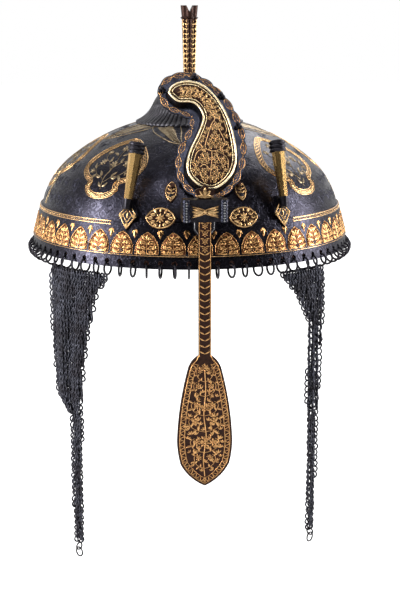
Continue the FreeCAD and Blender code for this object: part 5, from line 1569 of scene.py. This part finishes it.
@dataclass
class NasalGuard:
    """The sliding nasal: herringbone up its bar, a bordered blade with a flowering stem, a palmette."""

    front: float = -112.8
    bar_low: float = -50.0
    pitch: float = 3.95
    pairs_high: float = 11.0
    bar_rise: float = 0.07
    bar_line: float = 3.3
    bar_line_ends: tuple[float, float] = (-50.5, 43.0)
    bar_blossoms: tuple[float, ...] = (13.6, 18.2, 22.8, 27.4)
    head_foot: float = 43.9
    border_outer: float = 1.5
    border_inner: float = 4.4
    zigzag_pitch: float = 0.92
    zigzag_middle: float = 2.95
    twigs: Outline = ((-120.0, 6.4), (-110.0, 8.6), (-97.0, 9.6), (-87.0, 8.0), (-75.0, 6.6),
                                              (-66.0, 5.0))
    flowers: Outline = ((2.7, -57.4), (3.1, -104.0), (2.5, -82.0))

    def blade_outline(self, steps: int = 16) -> Array:
        """The blade's outline, clockwise from the left of its neck: five arcs each side.

        Args:
            steps: points to an arc.

        Returns:
            Points across and up.
        """
        corners = [(3.7, -50.0), (9.8, -57.5), (16.6, -102.0), (14.7, -117.0), (0.0, -131.0)]
        radii = (14.0, 200.0, 60.0, 30.0)
        counts = (steps // 2, 3 * steps, steps, steps)
        half = np.concatenate([arc(start, end, radius, count) for start, end, radius, count
                               in zip(corners, corners[1:], radii, counts)])
        other = half[::-1] * (-1.0, 1.0)
        return np.concatenate([half, [(0.0, -131.0)], other])

    def bar(self) -> Relief:
        """Leaf pairs in a herringbone between two side lines, and blossoms above, all low enough for the slot.

        Returns:
            The herringbone as raised work.
        """
        ends = np.arange(self.bar_low + 1.0, self.pairs_high, self.pitch)
        pair = leaf(4.0, 1.45, 0.25, self.bar_rise, 7, full=0.9).copies([(0.0, 0.0)], -0.95)
        parts = [pair.both().copies(np.stack([np.zeros(len(ends)), ends], axis=1))]
        for side in (-1.0, 1.0):
            edge = np.array([(side * self.bar_line, height) for height in np.linspace(*self.bar_line_ends, 24)])
            parts.append(ribbon(edge, 0.2, self.bar_rise))
        spots = np.array([(0.0, height) for height in self.bar_blossoms])
        parts.append(blossom(1.9, 6, self.bar_rise).copies(spots))
        parts.append(leaf(2.4, 1.2, 0.8, self.bar_rise).copies(spots + (0.6, 1.6), -1.1).both())
        return Relief.joined(parts)

    def blade(self) -> Relief:
        """Border lines with a zigzag between them, and a stem with pairs of scrolled twigs and flowers.

        Returns:
            The blade's gold as raised work.
        """
        outline = self.blade_outline()
        outer, inner = inset(outline, self.border_outer), inset(outline, self.border_inner)
        neck = np.array([(3.3, -49.5)])
        outer = np.concatenate([neck, outer[2:-2], neck * (-1.0, 1.0)])
        parts = [ribbon(outer, 0.28, 0.3), ribbon(inner[3:-3], 0.26, 0.3)]
        fine = self.blade_outline(64)
        length = np.concatenate([[0.0], np.cumsum(np.linalg.norm(np.diff(fine, axis=0), axis=1))])
        spots = np.arange(4.0, length[-1] - 4.0, self.zigzag_pitch)
        path = np.stack([np.interp(spots, length, fine[:, 0]), np.interp(spots, length, fine[:, 1])], axis=1)
        right = -left_of(path)
        wave = self.zigzag_middle + np.where(np.arange(len(spots)) // 2 % 2 == 0, 1.0, -1.0)
        parts.append(ribbon(path + right * wave[:, None], 0.36, 0.28, Section.KEEL))
        dots = slice(1, None, 4)
        parts.append(bead(0.36, 0.26, 6).copies((path + right * 2.3)[dots]))
        stem = smooth_path([(0.0, -125.0), (-0.8, -114.0), (0.8, -100.0), (-0.6, -86.0), (0.5, -72.0),
                            (0.0, -60.0)], steps=10)
        parts.append(ribbon(stem, 0.36, 0.3))
        spines = [stem]
        parts += [blossom(radius, 8).copies([(0.0, height)]) for radius, height in self.flowers]
        for height, reach in self.twigs:
            twig = smooth_path([(0.0, height), (0.45 * reach, height + 1.0), (0.85 * reach, height + 3.2),
                                (reach, height + 7.0), (0.72 * reach, height + 9.0)], steps=7)
            flower = blossom(0.25 * reach + 0.3, 6)
            parts.append(Relief.joined([
                ribbon(twig, 0.28, 0.26, Section.KEEL), flower.copies([(0.56 * reach, height + 6.6)]),
                leaf(0.45 * reach, 0.2 * reach, 0.7).copies([twig[8], twig[16], twig[24]],
                                                           np.array([-2.0, -1.5, -0.7])),
                leaf(0.4 * reach, 0.18 * reach, -0.7).copies([twig[6], twig[14]], np.array([-0.2, 0.2]))]).both())
            spines.append(twig)
        rng = np.random.default_rng(11)
        taken = np.concatenate([*spines, np.concatenate(spines[1:]) * (-1.0, 1.0)])
        places = scattered(inner, 3.3, 1.5, rng, 0.5)
        places = places[np.linalg.norm(places[:, None] - taken[None], axis=-1).min(1) > 1.25]
        spray = leaf(2.3, 1.05, 0.3).copies([(0.0, -0.7)] * 3, np.array([-0.8, 0.0, 0.8]))
        parts.append(spray.copies(places, rng.uniform(-0.9, 0.9, len(places)), rng.uniform(0.85, 1.2, len(places))))
        return Relief.joined(parts)

    def palmette(self) -> Relief:
        """Five petals in a fan over the bar's head.

        Returns:
            The palmette as raised work.
        """
        foot = (0.0, self.head_foot)
        petals = [leaf(length, 2.3, turn * 0.25, 0.35).copies([foot], -turn)
                  for length, turn in ((5.0, 1.25), (5.4, 0.62), (6.2, 0.0), (5.4, -0.62), (5.0, -1.25))]
        return Relief.joined([*petals, bead(0.9, 0.5).copies([foot])])

    def build(self, finishes: Finishes) -> None:
        """Dresses the nasal and lays its gold work.

        Args:
            finishes: the helmet's finishes.
        """
        dress(["nasal", "nasal_head"], finishes.russet)
        chart = PlaneChart((0.0, self.front, 0.0))
        lay("nasal_herringbone", self.bar(), chart, "nasal_slider", finishes.rust_gold)
        lay("nasal_blade_work", self.blade(), chart, "nasal_slider", finishes.rust_gold)
        lay("nasal_palmette", self.palmette(), chart, "nasal_slider", finishes.inlay)


@dataclass
class Bracket:
    """The nasal's bracket: reeded rolls, a bow of leaves, and an almond rosette each side."""

    bow_front: float = -116.0
    rosette_azimuth: float = 14.6
    rosette_height: float = 29.0
    petal_turns: tuple[float, ...] = (-2.7, -2.2, -1.2, -0.6, 0.0, 0.6, 1.2, 2.2, 2.7, 3.14)
    roll_across: float = 10.9
    roll_front: float = -117.4
    tongue_front: float = -109.2
    rosette_half: float = 8.6
    rosette_bulge: float = 5.7
    rosette_seat: float = 2.1

    def rosette(self) -> Relief:
        """A flower in an almond border, with leaves to its points.

        Returns:
            The rosette as raised work.
        """
        half, bulge = self.rosette_half, self.rosette_bulge
        radius = (half ** 2 + bulge ** 2) / (2 * bulge)
        top = arc((-half, 0.0), (half, 0.0), radius, 14)
        loop = np.concatenate([top, -top])
        leaves = Relief.joined([
            leaf(3.6, 1.8, 0.5).copies([(2.9, 1.6), (2.2, 2.6)], np.array([-1.15, -0.45])),
            leaf(3.6, 1.8, -0.5).copies([(2.9, -1.6), (2.2, -2.6)], np.array([-2.0, -2.7])),
            leaf(3.6, 2.2).copies([(4.4, 0.0)], -np.pi / 2)])
        petals = leaf(2.4, 1.5, rise=0.4, steps=6).copies([(4.1 * math.sin(turn), 3.4 * math.cos(turn))
                                                          for turn in self.petal_turns], -np.array(self.petal_turns))
        return Relief.joined([ribbon(loop, 0.42, 0.45, closed=True), blossom(2.9, 8, 0.5, 6), leaves.both(), petals])

    def bow(self) -> Relief:
        """Two fans of leaves that meet in the middle, under a chevron line.

        Returns:
            The bow's leaves as raised work.
        """
        fans = [leaf(6.8, 2.3, 0.3 * side, 0.34).copies([(0.9, 35.9)], -np.pi / 2 + side * turn)
                for side in (1.0, -1.0) for turn in (0.12, 0.42)]
        edge = smooth_path([(0.2, 37.0), (3.6, 38.2), (7.4, 39.0)], steps=6)
        low = smooth_path([(0.2, 35.0), (3.6, 33.8), (7.4, 33.0)], steps=6)
        return Relief.joined([Relief.joined([*fans, ribbon(edge, 0.28, 0.3), ribbon(low, 0.28, 0.3)]).both(),
                              bead(1.1, 0.5).copies([(0.0, 36.0)])])

    def build(self, finishes: Finishes) -> None:
        """Dresses the bracket and lays its gold work.

        Args:
            finishes: the helmet's finishes.
        """
        dress(["nasal_bracket", "bracket_tongue"], finishes.dark)
        dress(["bracket_rolls"], finishes.slate)
        dress(["bracket_rivets", "plume_rivets"], finishes.gilt)
        dress(["bracket_bow", "bracket_rosette_left", "bracket_rosette_right"], finishes.russet)
        dress(["nasal_spring"], finishes.spring)
        lay("bracket_bow_leaves", self.bow(), PlaneChart((0.0, self.bow_front, 0.0)), "helmet",
            finishes.inlay)
        self.lay_steel_lines(finishes)
        along = BOWL.along(self.rosette_height)
        lay_all("rosette_flowers", [(self.rosette(), BowlChart(side * self.rosette_azimuth, along, self.rosette_seat))
                                    for side in (-1, 1)], "helmet", finishes.inlay)

    def lay_steel_lines(self, finishes: Finishes) -> None:
        """Bright beads up each roll, their pale steel a painted highlight standing in for the shine on the reeds, and
        a line round the tongue's edge.

        Args:
            finishes: the helmet's finishes.
        """
        spots = np.arange(30.8, 42.6, 1.5)
        # Painted highlight: the beads take pale spring steel so that the dark rolls show bright spots.
        highlight_beads = bead(0.55, 0.4, 8).copies(np.stack([np.zeros(len(spots)), spots], axis=1))
        works: list[tuple[Relief, Chart]] = [
            (highlight_beads, PlaneChart((side * self.roll_across, self.roll_front, 0.0))) for side in (-1, 1)]
        edge = np.array([(-5.7, 31.0), (-5.7, 28.0), (-5.7, 25.2), (-2.8, 20.7), (0.0, 16.4), (2.8, 20.7),
                         (5.7, 25.2), (5.7, 28.0), (5.7, 31.0)])
        works.append((ribbon(edge, 0.26, 0.25), PlaneChart((0.0, self.tongue_front, 0.0))))
        lay_all("bracket_steel_lines", works, "helmet", finishes.spring)


@dataclass
class Plumes:
    """The plume tubes on their lozenge feet."""

    azimuths: tuple[float, ...] = (-26.6, 30.4)
    height: float = 30.5
    seat: float = 2.1
    corners: Outline = ((0.0, 6.8), (6.0, -0.6), (0.0, -9.6), (-6.0, -0.6))

    def foot(self) -> Relief:
        """A lozenge border with a smaller lozenge in it.

        Returns:
            The lozenges as raised work.
        """
        middle = np.array([0.0, -0.5])
        parts = []
        for share, half in ((0.88, 0.42), (0.48, 0.34)):
            path = middle + (np.array(self.corners) - middle) * share
            fine = np.concatenate([np.linspace(a, b, 6, endpoint=False) for a, b in
                                   zip(path, np.roll(path, -1, 0))])
            parts.append(ribbon(fine, half, 0.4, closed=True))
        parts.append(leaf(4.4, 1.6, rise=0.4).copies([(0.0, -2.6)]))
        return Relief.joined(parts)

    def build(self, finishes: Finishes) -> None:
        """Dresses the tubes and lays the gold on their feet.

        Args:
            finishes: the helmet's finishes.
        """
        dress(["plume_tube_left", "plume_tube_right"], finishes.polished)
        dress(["plume_collar_left", "plume_collar_right", "plume_foot_left", "plume_foot_right"], finishes.dark)
        along = BOWL.along(self.height)
        lay_all("plume_foot_lines", [(self.foot(), BowlChart(azimuth, along, self.seat))
                                     for azimuth in self.azimuths], "helmet", finishes.inlay)


@dataclass
class MailFlap:
    """A flap of mail: rows of rings that lean left and right by turns."""

    name: str
    replaced: str
    body: str
    shares: tuple[float, ...]
    first: tuple[float, ...]
    last: tuple[float, ...]
    top: float
    length: float
    fold: float
    seed: int
    radius: float = 102.366
    row_pitch: float = 1.9
    column_pitch: float = 2.3
    ring_radius: float = 1.95
    wire: float = 0.58
    lean: float = math.radians(34.0)
    around: int = 12
    sides: int = 5
    folds: int = 4
    stray: float = 0.12
    lean_stray: float = 0.22
    tip_stray: float = 0.20

    def centres(self) -> tuple[Array, Array, Array]:
        """Azimuth, height and row number of each ring that lies between the flap's edges.

        Returns:
            Azimuths, heights and row numbers.
        """
        rows = np.arange(int(self.length / self.row_pitch) + 1)
        share = rows * self.row_pitch / self.length
        first = np.radians(np.interp(share, self.shares, self.first))
        last = np.radians(np.interp(share, self.shares, self.last))
        step = self.column_pitch / self.radius
        low, high = math.radians(min(self.first)), math.radians(max(self.last))
        columns = np.arange(low, high, step)
        azimuth = columns[None, :] + (rows % 2)[:, None] * step / 2
        margin = 0.15 * step
        keep = (azimuth > first[:, None] + margin) & (azimuth < last[:, None] - margin)
        row = np.broadcast_to(rows[:, None], azimuth.shape)
        height = self.top - row * self.row_pitch
        jitter = np.random.default_rng(self.seed + 20).uniform(-self.stray, self.stray, azimuth.shape) * step
        return (azimuth + jitter)[keep], height[keep], row[keep]

    def swing(self, azimuth: Array, row: Array) -> Array:
        """How far the folds move a ring outwards: -fold * sin(pi * folds * share across the flap).

        Args:
            azimuth: each ring's azimuth.
            row: each ring's row number.

        Returns:
            Distances outwards.
        """
        share = row * self.row_pitch / self.length
        first = np.radians(np.interp(share, self.shares, self.first))
        last = np.radians(np.interp(share, self.shares, self.last))
        fold = self.fold * (0.35 + 0.65 * np.minimum(1.0, 3 * share))
        fold = np.minimum(fold, 0.1 * (last - first) * self.radius)
        return -fold * np.sin(np.pi * self.folds * (azimuth - first) / np.maximum(last - first, 1e-6))

    def build(self, finish: Material) -> None:
        """Each ring = centre + R * (cos * side + sin * up) + wire section, all rings at once.

        Args:
            finish: the material.
        """
        azimuth, height, row = self.centres()
        rng = np.random.default_rng(self.seed)
        count = len(azimuth)
        reach = self.radius + self.swing(azimuth, row) + rng.uniform(-self.stray, self.stray, count)
        out = np.stack([np.sin(azimuth), -np.cos(azimuth), np.zeros(count)], axis=1)
        tangent = np.stack([np.cos(azimuth), np.sin(azimuth), np.zeros(count)], axis=1)
        lean = np.where(row % 2 == 0, self.lean, -self.lean) + rng.uniform(-self.lean_stray, self.lean_stray, count)
        tip = rng.uniform(-self.tip_stray, self.tip_stray, count)
        side = tangent * np.cos(lean)[:, None] + out * np.sin(lean)[:, None]
        up = np.array([0.0, 0.0, 1.0]) * np.cos(tip)[:, None] + out * np.sin(tip)[:, None]
        normal = np.cross(side, up)
        centre = out * reach[:, None]
        centre[:, 2] = height + rng.uniform(-0.1, 0.1, count)
        angle = np.linspace(0.0, 2 * np.pi, self.around, endpoint=False)
        section = np.linspace(0.0, 2 * np.pi, self.sides, endpoint=False)
        size = self.ring_radius * rng.uniform(0.95, 1.05, count)
        radial = (side[:, None, :] * np.cos(angle)[None, :, None] + up[:, None, :] * np.sin(angle)[None, :, None])
        spine = centre[:, None, :] + radial * size[:, None, None]
        across, along = (way(section)[None, None, :, None] for way in (np.cos, np.sin))
        round_wire = radial[:, :, None, :] * across + normal[:, None, None, :] * along
        points = spine[:, :, None, :] + self.wire * round_wire
        faces = grid_faces(self.around, self.sides, close_rows=True, close_cols=True)
        per_ring = self.around * self.sides
        numbered = faces[None] + np.arange(count)[:, None, None] * per_ring
        new_piece(self.name, points.reshape(-1, 3), numbered.reshape(-1, 4)[:, ::-1], self.body,
                  finish, replaces=(self.replaced,))


@dataclass
class MailCurtain:
    """What is left of the mail: a broad flap at the left, a narrow one at the right, and their tails."""

    top: float = -6.9
    length: float = 91.0
    tail_top: float = -99.6

    def flaps(self) -> list[MailFlap]:
        """The four lengths of mail.

        Returns:
            The lengths of mail.
        """
        left = ((0.0, 0.12, 0.35, 0.65, 0.90, 1.0), (-61.5, -62.4, -62.4, -61.2, -59.2, -52.5),
                (-33.5, -37.8, -41.0, -44.2, -45.6, -45.7))
        right = ((0.0, 0.12, 0.35, 0.65, 0.90, 1.0), (28.0, 35.0, 42.2, 42.0, 41.8, 42.6),
                 (48.6, 49.4, 49.0, 47.8, 47.4, 47.2))
        return [MailFlap("mail_rings_left", "mail_flap_left", "left_mail", *left, self.top, self.length, 1.0, 3),
                MailFlap("mail_rings_right", "mail_flap_right", "right_mail", *right, self.top, self.length, 1.0,
                         4),
                MailFlap("mail_tail_rings_left", "mail_tail_left", "left_mail_tail", (0.0, 0.5, 1.0),
                         (-50.9, -50.6, -50.3), (-46.1, -46.4, -46.7), self.tail_top, 83.2, 0.3, 5),
                MailFlap("mail_tail_rings_right", "mail_tail_right", "right_mail_tail", (0.0, 0.5, 1.0),
                         (42.3, 42.6, 42.9), (46.7, 46.4, 46.1), self.tail_top, 76.2, 0.3, 6)]

    def build(self, finishes: Finishes) -> None:
        """Builds the flaps and dresses the rings that stay from the frame.

        Args:
            finishes: the helmet's finishes.
        """
        dress(["rim_rings", "mail_end_rings_left", "mail_end_rings_right"], finishes.dark)
        for flap in self.flaps():
            flap.build(finishes.mail)


@dataclass
class Lining:
    """The quilted cap inside the bowl: channels from the brow to a gathered hole at the crown."""

    low: float = 1.6
    high: float = 131.0
    near: float = -3.9
    deep: float = -8.2
    channels: int = 20
    puff: float = 1.5
    rows: int = 60
    around: int = 320
    stitch_rows: tuple[float, ...] = (12.0, 52.0, 92.0, 122.0)
    stitch_half: float = 2.2

    def build(self, finishes: Finishes) -> None:
        """Inner face = deep offset + puff * |sin(channels * azimuth / 2)| ** 0.5, drawn in at the stitch rows.

        Args:
            finishes: the helmet's finishes.
        """
        azimuth = np.linspace(0.0, 2 * np.pi, self.around, endpoint=False)
        along = np.linspace(self.low, self.high, self.rows)
        drawn = np.prod([1.0 - np.exp(-((along - row) / self.stitch_half) ** 2) for row in self.stitch_rows], axis=0)
        ends = np.sin(np.pi * (along - self.low) / (self.high - self.low)) ** 0.2
        swell = np.abs(np.sin(azimuth * self.channels / 2)) ** 0.5
        puff = self.puff * drawn[:, None] * ends[:, None] * swell[None, :]
        inner_out = self.deep + self.puff - puff
        outer_out = np.broadcast_to(self.near, inner_out.shape)
        grid_along = np.broadcast_to(along[:, None], inner_out.shape)
        grid_azimuth = np.broadcast_to(azimuth[None, :], inner_out.shape)
        outer = BOWL.point(grid_azimuth, grid_along, outer_out)
        inner = BOWL.point(grid_azimuth, grid_along, inner_out)[::-1]
        points = np.concatenate([outer, inner]).reshape(-1, 3)
        faces = grid_faces(2 * self.rows, self.around, close_rows=True, close_cols=True)
        piece = new_piece("quilted_lining", points, faces[:, ::-1], "helmet", finishes.cloth,
                          replaces=("lining",))
        self.thread_map(piece)

    @staticmethod
    def thread_map(piece: bpy.types.Object) -> None:
        """A UV map in millimetres: across is azimuth times 70 mm, up is the height and radius along.

        Args:
            piece: the lining.
        """
        mesh = piece.data
        places = np.empty(len(mesh.vertices) * 3)
        mesh.vertices.foreach_get("co", places)
        x, y, z = places.reshape(-1, 3).T / MM
        flat = np.stack([np.arctan2(x, -y) * 70.0, z - np.hypot(x, y) * 0.5], axis=1)
        loops = np.empty(len(mesh.loops), dtype=int)
        mesh.loops.foreach_get("vertex_index", loops)
        layer = mesh.uv_layers.new(name="threads")
        layer.data.foreach_set("uv", flat[loops].reshape(-1))


# Studio

@dataclass
class Lamp:
    """A soft box that looks at the helmet: where it stands, its size and its power."""

    azimuth: float
    elevation: float
    distance: float
    wide: float
    high: float
    power: float

    def build(self, number: int, aim: Vector) -> None:
        """Adds the lamp.

        Args:
            number: the lamp's number.
            aim: the point that it looks at.
        """
        data = bpy.data.lights.new(f"soft_box_{number}", "AREA")
        data.shape = "RECTANGLE"
        data.size, data.size_y = self.wide, self.high
        data.energy = self.power
        lamp = bpy.data.objects.new(data.name, data)
        azimuth, elevation = math.radians(self.azimuth), math.radians(self.elevation)
        way = Vector((math.sin(azimuth) * math.cos(elevation), -math.cos(azimuth) * math.cos(elevation),
                      math.sin(elevation)))
        lamp.location = aim + way * self.distance
        lamp.rotation_euler = (-way).to_track_quat("-Z", "Y").to_euler()
        bpy.context.scene.collection.objects.link(lamp)


@dataclass
class Studio:
    """Camera, lamps, world and floor."""

    eye: tuple[float, float, float] = (-0.0667, -0.8474, 0.1450)
    heading: float = 4.965
    pitch: float = 12.4
    lens: float = 77.13
    floor_gap: float = 0.004
    floor_seen: float = 0.80
    floor_mirrored: float = 0.15
    floor_half: float = 6.0
    aim_height: float = 0.03
    room_span: tuple[float, float] = (-0.15, 0.9)
    room_light: tuple[float, float] = (0.03, 0.9)
    room_fill: float = 0.30
    lamps: tuple[Lamp, ...] = (
        Lamp(-76.0, 8.0, 0.95, 0.30, 0.80, 13.0), Lamp(86.0, 8.0, 0.95, 0.26, 0.80, 10.0),
        Lamp(-38.0, 62.0, 1.10, 0.60, 0.40, 3.0), Lamp(6.0, 44.0, 1.20, 0.34, 0.22, 1.8),
        Lamp(150.0, 40.0, 1.30, 0.90, 0.60, 7.0))

    def build(self) -> None:
        """Sets the studio up."""
        scene = bpy.context.scene
        scene.view_settings.view_transform = "Standard"
        data = bpy.data.cameras.new("camera")
        data.lens = self.lens
        data.sensor_width = 36.0
        data.sensor_fit = "AUTO"
        data.clip_end = 50.0
        camera = bpy.data.objects.new("camera", data)
        camera.location = self.eye
        camera.rotation_euler = (math.radians(90.0 - self.pitch), 0.0, math.radians(-self.heading))
        scene.collection.objects.link(camera)
        scene.camera = camera
        for number, lamp in enumerate(self.lamps):
            lamp.build(number, Vector((0.0, 0.0, self.aim_height)))
        self.build_world(scene)
        self.build_floor()

    def build_world(self, scene: bpy.types.Scene) -> None:
        """White behind the object, for the camera and in reflections; a dim room on the camera's side.

        Args:
            scene: the scene.
        """
        world = bpy.data.worlds.new("studio")
        scene.world = world
        world.use_nodes = True
        tree = world.node_tree
        background = tree.nodes["Background"]
        path = tree.nodes.new("ShaderNodeLightPath")
        way = tree.nodes.new("ShaderNodeTexCoord")
        apart = tree.nodes.new("ShaderNodeSeparateXYZ")
        tree.links.new(way.outputs["Generated"], apart.inputs["Vector"])
        room = spread_node(tree, apart.outputs["Y"], *self.room_span, *self.room_light)
        mirrored = sum_node(tree, "MAXIMUM", path.outputs["Is Glossy Ray"], path.outputs["Is Transmission Ray"])
        seen = sum_node(tree, "MULTIPLY", mirrored, room)
        seen = sum_node(tree, "MAXIMUM", seen, path.outputs["Is Camera Ray"])
        direct = sum_node(tree, "MAXIMUM", mirrored, path.outputs["Is Camera Ray"])
        fill = sum_node(tree, "MULTIPLY", sum_node(tree, "SUBTRACT", 1.0, direct), self.room_fill)
        tree.links.new(sum_node(tree, "ADD", seen, fill), background.inputs["Strength"])
        background.inputs["Color"].default_value = (1.0, 1.0, 1.0, 1.0)

    def build_floor(self) -> None:
        """A pale floor under the lowest ring of the mail."""
        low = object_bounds()[0][2] - self.floor_gap
        mesh = bpy.data.meshes.new("floor")
        half = self.floor_half
        mesh.from_pydata([(-half, -half, low), (half, -half, low), (half, half, low), (-half, half, low)], [],
                         [(0, 1, 2, 3)])
        floor = bpy.data.objects.new("floor", mesh)
        bpy.context.scene.collection.objects.link(floor)
        material = bpy.data.materials.new("pale floor")
        material.use_nodes = True
        tree = material.node_tree
        shader = tree.nodes["Principled BSDF"]
        shader.inputs["Base Color"].default_value = (0.86, 0.86, 0.86, 1.0)
        shader.inputs["Roughness"].default_value = 0.9
        path = tree.nodes.new("ShaderNodeLightPath")
        shader.inputs["Emission Color"].default_value = (1.0, 1.0, 1.0, 1.0)
        seen = sum_node(tree, "MULTIPLY", path.outputs["Is Camera Ray"], self.floor_seen)
        mirrored = sum_node(tree, "MAXIMUM", path.outputs["Is Glossy Ray"], path.outputs["Is Transmission Ray"])
        mirrored = sum_node(tree, "MULTIPLY", mirrored, self.floor_mirrored)
        tree.links.new(sum_node(tree, "ADD", seen, mirrored), shader.inputs["Emission Strength"])
        mesh.materials.append(material)
        floor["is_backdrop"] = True


def main() -> None:
    """Builds the sub-assemblies in order."""
    logging.basicConfig(level=logging.INFO, format="%(name)s: %(message)s")
    finishes = Finishes()
    for part in (Bowl(), BrowBand(), Finial(), Crest(), Bracket(), NasalGuard(), Plumes(), MailCurtain(), Lining()):
        part.build(finishes)
    Studio().build()


if __name__ == "__main__":
    main()
